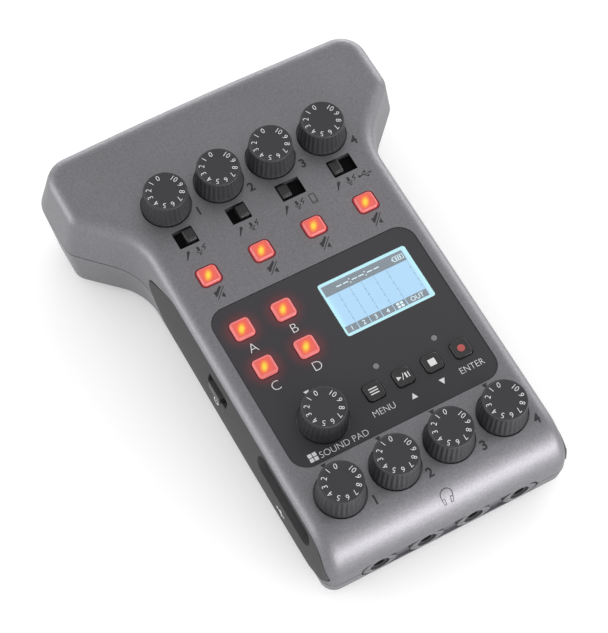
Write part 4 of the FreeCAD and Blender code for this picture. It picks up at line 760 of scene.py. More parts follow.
class RecorderColours(bpy.types.PropertyGroup):
    """Colours of the recorder's finishes."""

    def tint(title, note, value):
        return FloatVectorProperty(name=title, description=note, subtype="COLOR", size=3, min=0, max=1,
                                   default=value)

    shell: tint("Shell", "Sprayed metallic grey of the two shells", (0.207, 0.203, 0.216))
    side: tint("Side panels", "Matt dark grey of the side panels", (0.07, 0.07, 0.072))
    panel: tint("Control panel", "Near-black of the control panel", (0.036, 0.034, 0.039))
    knob: tint("Knobs", "Near-black of the knobs", (0.028, 0.028, 0.031))
    key: tint("Keys", "Black of the transport keys and levers", (0.016, 0.016, 0.017))
    light_mark: tint("Light marks", "Pale ink on black parts", (0.72, 0.72, 0.73))
    dark_mark: tint("Dark marks", "Dark ink on the shell", (0.018, 0.018, 0.021))
    lit_key: tint("Lit keys", "Red of the lit keys", (0.8, 0.13, 0.115))
    lit_inner: tint("Lit key, inside", "Red just round the lamp", (0.9, 0.14, 0.06))
    # Painted highlight on the rounded edge of the lit keys.
    lit_edge: tint("Lit key edge", "Paler edge of the lit keys", (0.82, 0.24, 0.24))
    lit_groove: tint("Lit key groove", "Darker line round the middle of the lit keys", (0.5, 0.05, 0.05))
    lamp: tint("Key lamp", "Yellow middle of the lit keys", (1.0, 0.95, 0.02))
    lamp_ring: tint("Key lamp ring", "Orange round the yellow middle", (1.0, 0.38, 0.03))
    key_rim: tint("Mute key light", "Red light of the mute keys on the shell round them", (0.42, 0.05, 0.06))
    # Painted shadow of the gap round each mute key.
    key_line: tint("Mute key line", "Dark red line at the edge of that light", (0.06, 0.008, 0.01))
    halo: tint("Pad light", "Red light that the pads throw on the panel", (0.1, 0.005, 0.007))
    screen: tint("Display", "Lit ground of the display", (0.4, 0.66, 0.9))
    screen_rim: tint("Display rim", "Brighter rim of the display", (0.5, 0.86, 0.92))
    screen_band: tint("Display band", "Grey bands of the display", (0.2, 0.24, 0.28))
    record: tint("Record dot", "Red dot of the record key", (0.42, 0.075, 0.07))


class RecorderSizes(bpy.types.PropertyGroup):
    """Sizes of what the dressed model adds, in millimetres."""

    def measure(title, note, value):
        return FloatProperty(name=title, description=note + ", in millimetres", default=value, min=0.0)

    ink: measure("Ink", "Thickness of printed marks", 0.02)
    dial_ring: measure("Dial ring", "Radius of the ring of dial digits", 4.9)
    dial_digit: measure("Dial digits", "Height of the dial digits", 1.6)
    channel_digit: measure("Channel digits", "Height of the channel numbers", 3.0)
    flute_depth: measure("Flute depth", "Depth of the grip flutes", 0.24)
    dish: measure("Knob dish", "How far the top of a knob lies below its rim", 0.16)
    key_dish: measure("Key dish", "How far the middle of a key lies below its rim", 0.1)
    key_edge: measure("Key edge", "Rounding of the keys", 0.42)
    flutes: IntProperty(name="Flutes", description="Grip flutes around a knob", default=30, min=3)


def sizes():
    return bpy.context.scene.recorder_sizes


class Dressing:
    """What all the operators share."""

    bl_options = {"REGISTER", "UNDO"}


class RECORDER_OT_finishes(Dressing, bpy.types.Operator):
    """Build the node trees and every finish of the recorder"""

    bl_idname = "recorder.finishes"
    bl_label = "Finishes"

    def execute(self, context):
        tints = context.scene.recorder_colours
        for build in (build_grain, build_deck_frame, build_glow, build_flutes, build_spread, build_bars,
                      build_glass, build_board):
            build()
        for build in (build_shell, build_control_black, build_lit_key, build_screen):
            build(tints)
        # Name, colour, roughness, grains per metre, depth, changes of tone and gloss, strength
        grained("Side panel grey", tints.side, 0.62, 2200.0, 0.02, 0.08, 0.08, 0.5, Specular_IOR_Level=0.06)
        grained("Socket black", (0.02, 0.02, 0.022), 0.38, 2500.0, 0.01, 0.1, 0.1)
        grained("Input panel black", (0.028, 0.028, 0.03), 0.45, 1800.0, 0.03, 0.1, 0.1, 0.6)
        grained("Knob black", tints.knob, 0.46, 2600.0, 0.012, 0.12, 0.1, 0.5, Specular_IOR_Level=0.35)
        # Near-black with little shine: the black of the lever plates, and painted shade in the lever slots and
        # round the lit keys in their holes.
        grained("Slot black and shade", (0.006, 0.006, 0.007), 0.8, 2600.0, 0.01, 0.1, 0.1, 0.5, Specular_IOR_Level=0.1)
        grained("Key black", tints.key, 0.36, 2600.0, 0.008, 0.1, 0.08, 0.4)
        grained("Foot rubber", (0.022, 0.022, 0.022), 0.75, 1500.0, 0.05, 0.15, 0.1, 0.8)
        grained("Plated metal", (0.62, 0.61, 0.6), 0.28, 1200.0, 0.004, 0.06, 0.12, 0.3, Metallic=1.0)
        grained("Zinc screw", (0.5, 0.5, 0.5), 0.34, 1500.0, 0.006, 0.1, 0.12, 0.4, Metallic=1.0)
        grained("Gold contact", (0.83, 0.6, 0.24), 0.25, 1500.0, 0.003, 0.06, 0.08, 0.3, Metallic=1.0)
        grained("Inner plastic", (0.03, 0.03, 0.032), 0.5, 1500.0, 0.02, 0.1, 0.1)
        grained("Lamp lens", (0.175, 0.172, 0.185), 0.3, 1500.0, 0.006, 0.1, 0.1, 0.4, Coat_Weight=0.4)
        grained("Cell film", (0.09, 0.16, 0.2), 0.25, 600.0, 0.01, 0.1, 0.06, Metallic=0.6, Coat_Weight=0.5)
        flat_print("Print black", tints.dark_mark)
        flat_print("Print white", tints.light_mark)
        flat_print("Record red", tints.record)
        flat_print("Screen band", tints.screen_band, 1.0)
        flat_print("Screen ink", (0.07, 0.1, 0.14), 0.6)
        flat_print("Screen white", (0.72, 0.88, 0.95), 1.0)
        return {"FINISHED"}


SLOT_EDGE = 0.6
SLOT_DEPTH = (-2.4, -0.05)


def slot_lining():
    """Rule that picks the faces of the upper shell that line the four lever slots, to be given near-black painted
    shade.
    """
    boxes = []
    for number in ROW:
        node = f"input_switch_{number}"
        low, high = cap_span(node)
        centre = middle(*node_span(f"gain_knob_{number}")).x
        start, end = joint_of(node)["range_m"]
        half = (high.x - low.x + (end - start) / MM) / 2 + SLOT_EDGE
        boxes.append((centre - half, centre + half, low.y - SLOT_EDGE, high.y + SLOT_EDGE))

    def lining(spot):
        return int(SLOT_DEPTH[0] < spot.z < SLOT_DEPTH[1]
                   and any(a < spot.x < b and c < spot.y < d for a, b, c, d in boxes))

    return lining


class RECORDER_OT_case(Dressing, bpy.types.Operator):
    """Dress the two shells, the side panels, the input panel and the control panel"""

    bl_idname = "recorder.case"
    bl_label = "Case"

    def execute(self, context):
        # The walls of the lever slots take the near-black painted shade.
        dress("top_shell", ["Sprayed grey", "Slot black and shade"], slot_lining())
        dress("bottom_shell", ["Sprayed grey"])
        for side in ("left", "right"):
            dress(f"{side}_side_panel", ["Side panel grey"])
        dress("input_panel", ["Input panel black"])
        dress("control_panel", ["Control panel black"])
        return {"FINISHED"}


SHAFT = 3.0
KNOB_FOOT = -0.8
KNOB_TAPER = 0.75
DIAL_DIGITS = 11
DIAL_STEP = 30


def knob_profile(low, high, foot, top, dish):
    """Half outline of a knob, lowest first, with a dished top and a soft rim."""
    skirt = [(0.2, KNOB_FOOT), (0, -0.6), (0, 0.0), (0, 0.45), (0.05, 0.8), (0.1, 1.3), (0.2, 2.4),
             (0.35, 4.0), (0.5, 5.6)]
    rim = [(-0.08, 1.1), (-0.04, 0.6), (0, 0.3), (0.09, 0.12), (0.2, 0.02), (0.3, 0), (0.4, 0.03),
           (0.48, dish * 0.8), (0.56, dish), (2.6, dish)]
    return [(0, low), (SHAFT - 0.3, low), (SHAFT, low + 0.3), (SHAFT, KNOB_FOOT),
            *((foot - inset, height) for inset, height in skirt),
            *((top - inset, high - drop) for inset, drop in rim), (0, high - dish)]


class RECORDER_OT_knobs(Dressing, bpy.types.Operator):
    """Build the nine fluted knobs with their dial digits"""

    bl_idname = "recorder.knobs"
    bl_label = "Knobs"

    def execute(self, context):
        given = sizes()
        for node in sorted(name for name in frame["nodes"] if "knob" in name):
            low, high = node_span(node)
            foot = (high.x - low.x) / 2
            top = foot - KNOB_TAPER
            form = bmesh.new()
            turned(form, knob_profile(low.z, high.z, foot, top, given.dish), given.flutes * 8)
            bmesh.ops.recalc_face_normals(form, faces=form.faces)
            values = {"Count": given.flutes, "Depth": given.flute_depth, "Foot": 0.5, "Crown": high.z - 0.4,
                      "Inner radius": top - 0.5}
            mesh = grow("Grip flutes", values, "Knob black", as_mesh(form))
            form = bmesh.new()
            form.from_mesh(mesh)
            level = high.z - given.dish
            rest = -joint_of(node)["range_deg"][1]
            for number in range(DIAL_DIGITS):
                turn = rest + DIAL_STEP * number
                spot = around((0, 0), given.dial_ring, turn + 90, turn + 90, 1)[0]
                word(form, str(number), given.dial_digit, spot, level - 0.02, level + given.ink, 1, 0.95,
                     -0.012, turn)
            settle(form, node + "_dial", ["Knob black", "Print white"], node, (node,), angle=40,
                   centre=middle(low, high))
        return {"FINISHED"}


KEY_CORNER = 1.2
STEM, STEM_TOP = 1.5, -2.9


def key_form(node, edge, dish, deep=0):
    """Key with its collar and stem, about its own middle. Returns the form, its middle and its height.
    What lies below the deck has the finish deep, which on the lit keys is near-black painted shade."""
    low, high = cap_span(node)
    whole_low, whole_high = node_span(node)
    width, length, top = high.x - low.x, high.y - low.y, high.z
    collar = whole_high.x - whole_low.x - width
    shadow, foot, ledge = -0.15, -3.3, -2.5
    rim = [(0, 1.3), (0.08, 0.85), (0.3, 0.4), (0.65, 0.1), (1, 0)]
    profile = [(0, shadow), *((edge * inset, top - edge * drop) for inset, drop in rim), (edge + 0.25, top),
               (edge + 0.45, top - dish * 0.6), (edge + 0.7, top - dish), (width * 0.4, top - dish)]
    form = bmesh.new()
    pad(form, width, length, KEY_CORNER, [(0, foot), (0, shadow)], finish=deep, ends=(True, False))
    pad(form, width, length, KEY_CORNER, profile, ends=(False, True))
    pad(form, width + collar, length + collar, KEY_CORNER, [(0, foot), (0, ledge)], finish=deep)
    stem = [(0, whole_low.z), (STEM, whole_low.z), (STEM, STEM_TOP), (0, STEM_TOP)]
    turned(form, stem, 24, deep)
    return form, middle(low, high), top - dish


class RECORDER_OT_lit_keys(Dressing, bpy.types.Operator):
    """Build the four mute keys and the four sound pads, lit from below"""

    bl_idname = "recorder.lit_keys"
    bl_label = "Lit keys"

    def execute(self, context):
        given = sizes()
        names = [f"mute_button_{number}" for number in ROW] + [f"sound_pad_{letter}" for letter in "abcd"]
        for node in names:
            form, centre, _ = key_form(node, given.key_edge, given.key_dish, 1)
            chart = form.loops.layers.uv.new("key_face")
            for face in form.faces:
                for loop in face.loops:
                    loop[chart].uv = [value / KEY_CHART + 0.5 for value in loop.vert.co.xy]
            # The keys' parts inside their holes take the near-black painted shade.
            settle(form, node + "_cap", ["Lit key", "Slot black and shade"], node, (node,), angle=50,
                   centre=centre)
        return {"FINISHED"}


class RECORDER_OT_transport_keys(Dressing, bpy.types.Operator):
    """Build the four black transport keys with their symbols"""

    bl_idname = "recorder.transport_keys"
    bl_label = "Transport keys"

    def execute(self, context):
        for name, symbol in (("menu", menu_symbol), ("play", play_symbol), ("stop", stop_symbol),
                             ("record", record_symbol)):
            node = name + "_button"
            form, centre, top = key_form(node, 0.35, 0.06)
            symbol(form, top - 0.02, top + sizes().ink)
            settle(form, node + "_key", ["Key black", "Print white", "Record red"], node, (node,),
                   angle=50, centre=centre)
        return {"FINISHED"}


def menu_symbol(form, *heights):
    for row in (-0.85, 0, 0.85):
        bar(form, (-1.35, row), (1.35, row), 0.36, *heights, 1)


def play_symbol(form, *heights):
    prism(form, [(-2.35, -0.85), (-0.55, 0), (-2.35, 0.85)], *heights, 1)
    bar(form, (-0.45, -1.0), (0.35, 1.0), 0.22, *heights, 1)
    for x in (0.95, 1.9):
        bar(form, (x, -0.85), (x, 0.85), 0.5, *heights, 1)


def stop_symbol(form, *heights):
    prism(form, rounded(2.2, 2.2, 0.1), *heights, 1)


def record_symbol(form, *heights):
    disc(form, (0, 0), 1.15, *heights, 2)


SLIDER_FACE = -39


class RECORDER_OT_levers(Dressing, bpy.types.Operator):
    """Build the four input levers and the power slider"""

    bl_idname = "recorder.levers"
    bl_label = "Levers"

    def execute(self, context):
        plate_low, plate_high = -3.2, -2.5
        for number in ROW:
            node = f"input_switch_{number}"
            low, high = cap_span(node)
            whole_low, whole_high = node_span(node)
            width, length, top = high.x - low.x, high.y - low.y, high.z
            centre, plate = middle(low, high), middle(whole_low, whole_high)
            form = bmesh.new()
            body = [(0, plate_low), (0, top - 0.55), (0.05, top - 0.4), (0.18, top - 0.26), (0.4, top - 0.2)]
            pad(form, width, length, 0.4, body, steps=3)
            ridge = [(0, top - 0.4), (0, top - 0.1), (0.1, top)]
            pad(form, width - 0.5, 0.55, 0.2, ridge, (0, -length / 2 + 0.75), steps=2)
            bars(form, 3, (0, -0.25, top - 0.22), (0, 0.75, 0), (width - 0.7, 0.3, 0.2))
            # The plate under the lever: black, darkened further as painted slot shade.
            pad(form, whole_high.x - whole_low.x, whole_high.y - whole_low.y, 0.1,
                [(0, plate_low), (0, plate_high)], plate - centre, 1, 2)
            pad(form, 2.0, 2.0, 0.1, [(0, whole_low.z), (0, -3.0)], steps=2)
            settle(form, node + "_lever", ["Key black", "Slot black and shade"], node, (node,), centre=centre)
        node = "power_switch_slider"
        dress(node, ["Key black"])
        low, high = node_span(node, test=lambda point: point.x < SLIDER_FACE)
        centre = middle(low, high)
        form = bmesh.new()
        bars(form, 5, (low.x + 0.03, centre.y - 1.8, centre.z), (0, 0.9, 0), (0.1, 0.35, 2.2))
        settle(form, "power_slider_grip", ["Key black"], node)
        return {"FINISHED"}


def display_stack(window, foot):
    """The lit module under the glass: its case, its neck and its face. Returns the form."""
    (low, high), (base_low, base_high) = window, node_span("display_module")
    width, length, centre = high.x - low.x, high.y - low.y, middle(low, high)
    joint, ledge = -3.2, low.z + 0.02
    form = bmesh.new()
    pad(form, base_high.x - base_low.x, base_high.y - base_low.y, 0.3, [(0, base_low.z), (0, joint)],
        middle(base_low, base_high), 5, 2)
    pad(form, width - 1.6, length - 1.6, 0.3, [(0, joint), (0, ledge)], centre, 5, 2)
    pad(form, width - 0.1, length - 0.1, 0.75, [(0, ledge), (0, foot)], centre)
    return form


def display_header(form, left, right, front, rear, under, over):
    """Grey band at the head of the display, with the time and the charge of the cells."""
    prism(form, corners(left + 0.75, front, right - 1.5, rear), *under, 1)
    row = (front + rear) / 2 - 0.05
    x = left + 5.0
    for part in range(3):
        for _ in range(2):
            bar(form, (x, row), (x + 1.75, row), 0.34, *over, 3)
            x += 2.2
        if part < 2:
            for side in (-0.62, 0.62):
                disc(form, (x + 0.08, row + side), 0.2, *over, 3, 12)
            x += 0.72
    start, end = right - 5.2, right - 1.95
    closed_line(form, corners(start, row - 0.75, end, row + 0.75), 0.2, *over, 3)
    ink = over[1] - over[0]
    bars(form, 3, (start + 0.95, row, sum(over) / 2), (0.72, 0, 0), (0.38, 0.9, ink), 3)
    bar(form, (start - 0.32, row - 0.35), (start - 0.32, row + 0.35), 0.3, *over, 3)


def display_meter(form, left, right, front, rear, title, under, over):
    """One channel of the display: its title in a grey box and its level scale above that."""
    foot, head = front + 1.0, front + 3.3
    left, right = left + 0.12, right - 0.12
    prism(form, corners(left, foot, right, head), *under, 1)
    x, y = (left + right) / 2, (foot + head) / 2
    if title:
        word(form, title, 1.45, (x, y), *over, 3, 1.0, 0.01)
    else:
        four_squares(form, x, y, (0.62, 0.5), (0.95, 0.75), 0.15, 2, *over, 3)
    count = 24
    x = right - 0.2 if title == "OUT" else right
    level, ink = sum(under) / 2, under[1] - under[0]
    bars(form, count, (x, head + 0.35, level), (0, (rear - head - 0.7) / (count - 1), 0), (0.13, 0.2, ink), 2)
    bars(form, 4, (x - 0.12, head + 1.6, level), (0, 2.2, 0), (0.34, 0.13, ink), 2)


class RECORDER_OT_display(Dressing, bpy.types.Operator):
    """Build the lit display under its window, with its meters and cells"""

    bl_idname = "recorder.display"
    bl_label = "Display"

    def execute(self, context):
        low, high = node_span("display_window")
        glass, air, ink = 0.3, 0.06, 0.012
        foot = high.z - glass
        form = bmesh.new()
        pad(form, high.x - low.x, high.y - low.y, 0.8, [
            (0.04, foot), (0, foot + 0.04), (0, high.z - 0.06), (0.03, high.z - 0.02), (0.08, high.z)],
            middle(low, high))
        settle(form, "display_glass", ["Window glass"], BODY, ("display_window",))
        face = foot - air
        under, over = (face, face + ink), (face + ink, face + 2 * ink)
        form = display_stack((low, high), face)
        band = high.y - 4.6
        display_header(form, low.x, high.x, band, high.y - 1.0, under, over)
        edges = [low.x + edge for edge in (0.55, 4.55, 8.45, 12.35, 16.4, 20.6, 27.75)]
        for start, end, title in zip(edges, edges[1:], ("1", "2", "3", "4", "", "OUT")):
            display_meter(form, start, end, low.y, band, title, under, over)
        settle(form, "display_screen", ["Display light", "Screen band", "Screen ink", "Screen white",
                                        "Screen band", "Inner plastic"], BODY, ("display_module",))
        return {"FINISHED"}


def halves(points, axis):
    """Spans of the two pieces of a node that lie apart along an axis, with -1 or 1 for the side."""
    split = middle(*span(points))[axis]
    return [(side, *span([point for point in points if (point[axis] - split) * side > 0])) for side in BOTH]


class RECORDER_OT_lamps(Dressing, bpy.types.Operator):
    """Build the two clouded status lamps"""

    bl_idname = "recorder.lamps"
    bl_label = "Status lamps"

    def execute(self, context):
        form = bmesh.new()
        for _, low, high in halves(node_points("status_lenses"), 0):
            foot, top = low.z, high.z
            profile = [(0, foot), (0.9, foot), (0.95, foot + 0.1), (0.95, -2.8), (1.7, -2.8), (1.7, -2.5),
                       (0.95, -2.5), (0.95, top - 0.12), (0.86, top - 0.03), (0.7, top + 0.02),
                       (0.35, top + 0.05), (0, top + 0.06)]
            turned(form, profile, 32, 0, tuple(middle(low, high).xy))
        settle(form, "status_lamps", ["Lamp lens"], BODY, ("status_lenses",), angle=60)
        return {"FINISHED"}


ROLL = 13.2


def over_the_front():
    """Rule that lays marks on the deck and round the roll-over at its front end."""
    start = node_span("top_shell")[0].y + ROLL

    def lay(point):
        if point.y > start:
            return point
        angle = (start - point.y) / ROLL
        reach = ROLL + point.z
        return Vector((point.x, start - reach * sin(angle), reach * cos(angle) - ROLL))

    return lay


# Signs, each about its own middle


def microphone(form, *layer):
    """Hand microphone, leaning to the right."""
    lean = Matrix.Rotation(radians(-31), 2)
    half = [(0.13, -1.65), (0.33, 0.3), (0.46, 0.75), (0.46, 1.25), (0.3, 1.55)]
    outline = half + [(-x, y) for x, y in reversed(half)]
    prism(form, [lean @ Vector(point) for point in outline], *layer)


def studio_microphone(form, *layer):
    """Standing microphone in its fork, with the lightning sign of its supply."""
    prism(form, rounded(0.82, 1.65, 0.4, (0, 0.6), 4), *layer)
    arc(form, (0, 0.1), 0.72, 0.98, 190, 350, *layer, 14)
    bar(form, (0, -0.75), (0, -1.3), 0.24, *layer)
    bar(form, (-0.5, -1.38), (0.5, -1.38), 0.24, *layer)
    strokes = [(2.5, 1.45), (1.3, 0.55), (2.2, 0.35), (1.5, -0.6)]
    for start, end, width in zip(strokes, strokes[1:], (0.34, 0.3, 0.26)):
        bar(form, start, end, width, *layer)


def phone_sign(form, *layer):
    closed_line(form, corners(-0.85, -1.6, 0.85, 1.6), 0.26, *layer)
    bar(form, (-0.8, -1.05), (0.8, -1.05), 0.16, *layer)


def plug_sign(form, *layer):
    """Three-pronged sign of a computer port."""
    disc(form, (-1.95, 0), 0.42, *layer, steps=16)
    bar(form, (-1.9, 0), (1.5, 0), 0.24, *layer)
    prism(form, [(1.4, -0.42), (2.2, 0), (1.4, 0.42)], *layer)
    for side, start, end, corner in ((1, -1.1, 0.15, 0.06), (-1, -0.45, 0.6, 0.32)):
        bend, tip = (start + 0.7, 0.85 * side), (end, 0.85 * side)
        bar(form, (start, 0), bend, 0.22, *layer)
        bar(form, bend, tip, 0.22, *layer)
        prism(form, rounded(0.66, 0.66, corner, tip, 4), *layer)


def mute_sign(form, *layer):
    """Loudspeaker crossed out by a stroke."""
    prism(form, [(-1.4, 0.9), (-1.3, -0.75), (-0.95, -0.82), (1.42, 1.6), (1.25, 2.3), (-0.65, 0.9)], *layer)
    prism(form, [(0.13, -1.25), (1.3, -2.0), (1.3, -0.08)], *layer)
    bar(form, (-1.25, -1.85), (2.2, 1.6), 0.26, *layer)


def headphones(form, *layer):
    """Headphones: a band over two ear pads."""
    arc(form, (0, 0), 1.75, 2.0, 0, 180, *layer, 28)
    for side in BOTH:
        bar(form, (1.875 * side, 0.02), (1.7 * side, -1.3), 0.24, *layer)
        ear = [(0.75, -2.75), (1.45, -2.75), (1.7, -1.0), (0.95, -1.0)]
        closed_line(form, [(x * side, y) for x, y in ear], 0.2, *layer)


def power_sign(form, *layer):
    arc(form, (0, 0), 1.05, 1.35, 120, 420, *layer)
    bar(form, (0, 0.25), (0, 1.55), 0.3, *layer)


def card_sign(form, *layer):
    closed_line(form, [(-1.3, -1.7), (1.3, -1.7), (1.3, 1.7), (-0.5, 1.7), (-1.3, 0.9)], 0.26, *layer)
    for x in (-0.35, 0.2, 0.75):
        bar(form, (x, 0.5), (x, 1.25), 0.24, *layer)


SIGN_ROW = -18.3
FRONT_SIGN = -119.0


class RECORDER_OT_deck_marks(Dressing, bpy.types.Operator):
    """Print the channel numbers and symbols on the deck"""

    bl_idname = "recorder.deck_marks"
    bl_label = "Deck marks"

    def execute(self, context):
        ink = sizes().ink
        form = bmesh.new()

        def put(sign, x, y, height=ink):
            known = len(form.verts)
            sign(form, 0, height)
            moved(form, known, Matrix.Translation((x, y, 0)))

        for row, number in product(("gain", "headphone"), ROW):
            spot = middle(*node_span(f"{row}_knob_{number}"))
            place = (spot.x + 7.6, spot.y - 6.2)
            word(form, str(number), sizes().channel_digit, place, 0, ink, 0, 0.95, 0.03)
            if row == "headphone":
                arrow(form, spot.x, spot.y + 9.3, 0.85, -0.8, 0, ink)
        for number in ROW:
            x = middle(*node_span(f"gain_knob_{number}")).x
            left, right = (2.25, -1.45) if number < 3 else (4.35, 0.65)
            put(microphone, x - left, SIGN_ROW)
            put(studio_microphone, x - right, SIGN_ROW + 0.1)
            mute = middle(*cap_span(f"mute_button_{number}"))
            put(mute_sign, mute.x, mute.y - 6.5)
            if number == 3:
                put(phone_sign, x + 4.5, SIGN_ROW - 0.1)
            if number == 4:
                put(plug_sign, x + 4.8, SIGN_ROW)
        put(headphones, 0.3, FRONT_SIGN, 2.5 * ink)
        settle(form, "deck_marks", ["Print black"], lay=over_the_front())
        return {"FINISHED"}


SIDE_INK = 0.08
FAR = 80


def onto(node, way, y, z):
    """Rule that lays a flat mark on the outside of a piece at y and z, facing along x or against it."""
    tree = BVHTree.FromPolygons(node_points(node), [face.vertices[:] for face in cad_mesh(node).polygons])

    def lay(point):
        along, up = y + way * point.x, z + point.y
        face = tree.ray_cast(Vector((way * FAR, along, up)), Vector((-way, 0, 0)))[0]
        return Vector((face.x + way * point.z, along, up))

    return lay


class RECORDER_OT_socket_marks(Dressing, bpy.types.Operator):
    """Print the numbers of the inputs and the signs beside the sockets on both sides"""

    bl_idname = "recorder.socket_marks"
    bl_label = "Socket marks"

    def execute(self, context):
        form = bmesh.new()
        rear = node_span("input_panel")[1]
        for number in ROW:
            x = middle(*node_span(f"xlr_socket_{number}")).x
            word(form, str(number), 2.2, (-x - 9.9, rear.z - 2.3), 0, sizes().ink)
        face = Matrix(((-1, 0, 0, 0), (0, 0, 1, rear.y), (0, 1, 0, 0), (0, 0, 0, 1)))
        settle(form, "input_numbers", ["Print white"], place=DECK @ face)
        for name, side, node, below, sign in (
                ("power", "left", "power_switch_slider", 5.8, power_sign),
                ("computer", "left", "usb_ports", 9.6, plug_sign),
                ("phone", "right", "phone_jack", 7.4, phone_sign),
                ("card", "right", "card_slot", 5.8, card_sign)):
            spot = middle(*node_span(node))
            lay = onto(f"{side}_side_panel", -1 if side == "left" else 1, spot.y, spot.z - below)
            form = bmesh.new()
            sign(form, -SIDE_INK, SIDE_INK)
            settle(form, name + "_mark", ["Print white"], lay=lay)
        return {"FINISHED"}


class RECORDER_OT_panel_marks(Dressing, bpy.types.Operator):
    """Print the letters, words and arrows on the control panel"""

    bl_idname = "recorder.panel_marks"
    bl_label = "Panel marks"

    def execute(self, context):
        top = node_span("control_panel")[1].z
        layer = (top - 0.01, top + sizes().ink, 0)
        small = 1.9
        form = bmesh.new()
        for letter in "abcd":
            spot = middle(*cap_span(f"sound_pad_{letter}"))
            word(form, letter.upper(), 2.85, (spot.x, spot.y - 6.5), *layer, 0.98, -0.02)
        menu, play, stop, record = (middle(*cap_span(name + "_button"))
                                    for name in ("menu", "play", "stop", "record"))
        word(form, "MENU", small, (menu.x - 0.2, menu.y - 6.3), *layer, 0.92, -0.016)
        word(form, "ENTER", small, (record.x, record.y - 6.2), *layer, 0.92, -0.016)
        arrow(form, play.x - 0.2, play.y - 6.5, 0.95, 0.9, *layer)
        arrow(form, stop.x - 0.2, play.y - 6.5, 0.95, -0.9, *layer)
        spot = middle(*node_span("pad_volume_knob"))
        arrow(form, spot.x, spot.y + 9.4, 0.85, -0.8, *layer)
        word(form, "SOUND PAD", small, (spot.x + 1.6, spot.y - 9.2), *layer, 0.95, -0.014)
        four_squares(form, spot.x - 8.15, spot.y - 8.8, (0.72, 0.72), (1.2, 1.2), 0.15, 3, *layer)
        settle(form, "panel_marks", ["Print white"])
        return {"FINISHED"}


CONTACT_RING = 4.0
CONTACT_BACK = 12.8
TONGUE = (3.4, 0.4)


class RECORDER_OT_sockets(Dressing, bpy.types.Operator):
    """Dress the microphone, headphone, phone and computer sockets and the card slot"""

    bl_idname = "recorder.sockets"
    bl_label = "Sockets"

    def execute(self, context):
        for number in ROW:
            dress(f"headphone_jack_{number}", ["Socket black"])
            dress(f"xlr_socket_{number}", ["Socket black"])
        dress("phone_jack", ["Socket black"])
        dress("card_slot", ["Plated metal"])
        back = DECK.inverted()
        mounts = frame["record"]["mounts"]
        ports = [back @ Vector(mount["pos_m"]) for mount in mounts if "usb" in mount["name"]]

        def tongue(centre):
            near = min(ports, key=lambda port: abs(port.y - centre.y))
            return int(abs(centre.y - near.y) < TONGUE[0] and abs(centre.z - near.z) < TONGUE[1])

        dress("usb_ports", ["Plated metal", "Socket black"], tongue)
        inner, outer, length = 0.75, 1.2, 9.2
        sleeve = [(inner, 0), (outer, 0), (outer, length - 0.2), (outer - 0.1, length), (inner + 0.1, length),
                  (inner, length - 0.2), (inner, 0)]
        spots = []
        for number, (across, up) in product(ROW, ((-1, 0), (1, 0), (0, -1))):
            low, high = node_span(f"xlr_socket_{number}")
            x, z = middle(low, high).xz
            spots.append((x + across * CONTACT_RING, high.y - CONTACT_BACK, z + up * CONTACT_RING))
        mesh = spread(sleeve, spots, (radians(-90), 0, 0), 20, "Gold contact")
        mesh.transform(DECK)
        smooth(mesh)
        show(mesh, "input_contacts", ["Gold contact"])
        return {"FINISHED"}


def build_feet():
    """Four rubber feet with a hollow underside."""
    points = node_points("feet", LEVEL)
    spots = []
    for side, end in product(BOTH, BOTH):
        low, high = span([point for point in points if point.x * side > 0 and point.y * end > 0])
        centre, radius, tall = middle(low, high), (high.x - low.x) / 2, high.z - low.z
        spots.append((centre.x, centre.y, low.z))
    foot = [(0, 0.12), (radius - 1.3, 0.12), (radius - 1.0, 0), (radius - 0.4, 0), (radius - 0.12, 0.12),
            (radius, 0.4), (radius, tall), (0, tall)]
    mesh = spread(foot, spots, (0, 0, 0), 48, "Foot rubber")
    mesh.transform(LEVEL)
    smooth(mesh, 40)
    show(mesh, "rubber_feet", ["Foot rubber"], BODY, ("feet",))


def build_cells():
    """Two cells, one each way round: film round the can, bare metal ends and a positive button."""
    form = bmesh.new()
    for way, low, high in halves(node_points("batteries", LEVEL), 1):
        centre, length, radius = middle(low, high), high.x - low.x, (high.z - low.z) / 2
        known = len(form.verts)
        band, neck = length * 0.72, (radius - 0.9, length - 1.05)
        for finish, profile in (
                (1, [(0, 0), (radius - 1.5, 0), (radius - 1.2, 0.15), (radius - 0.5, 0.2)]),
                (0, [(radius - 0.5, 0.2), (radius - 0.1, 0.3), (radius, 0.6), (radius, band)]),
                (2, [(radius, band), (radius, length - 1.8), (radius - 0.2, length - 1.2), neck]),
                (1, [neck, (3.0, length - 1.0), (2.7, length - 0.8), (2.7, length - 0.15), (2.5, length),
                     (0, length)])):
            turned(form, profile, 48, finish)
        start = low.x if way > 0 else high.x
        moved(form, known, Matrix.Translation((start, centre.y, centre.z))
              @ Matrix.Rotation(radians(90 * way), 4, "Y"))
    finishes = ["Cell film", "Plated metal", "Gold contact"]
    settle(form, "cells", finishes, BODY, ("batteries",), LEVEL, 40)


class RECORDER_OT_underside(Dressing, bpy.types.Operator):
    """Dress the feet, the case screws, the battery cover and the cells"""

    bl_idname = "recorder.underside"
    bl_label = "Underside"

    def execute(self, context):
        build_feet()
        node = "battery_cover"
        dress(node, ["Sprayed grey"])
        low, high = node_span(node, LEVEL)
        x = middle(low, high).x
        form = bmesh.new()
        bars(form, 7, (x, high.y - 9.0, low.z + 0.01), (0, 0.95, 0), (16.0, 0.45, 0.24))
        arrow(form, x, high.y - 12.25, 1.8, -1.25, low.z - 0.1, low.z + 0.05)
        settle(form, "battery_cover_grip", ["Sprayed grey"], node, (), LEVEL)
        dress("case_screws", ["Zinc screw"])
        paint("board_screws", "Zinc screw")
        paint("battery_contacts", "Plated metal")
        build_cells()
        return {"FINISHED"}


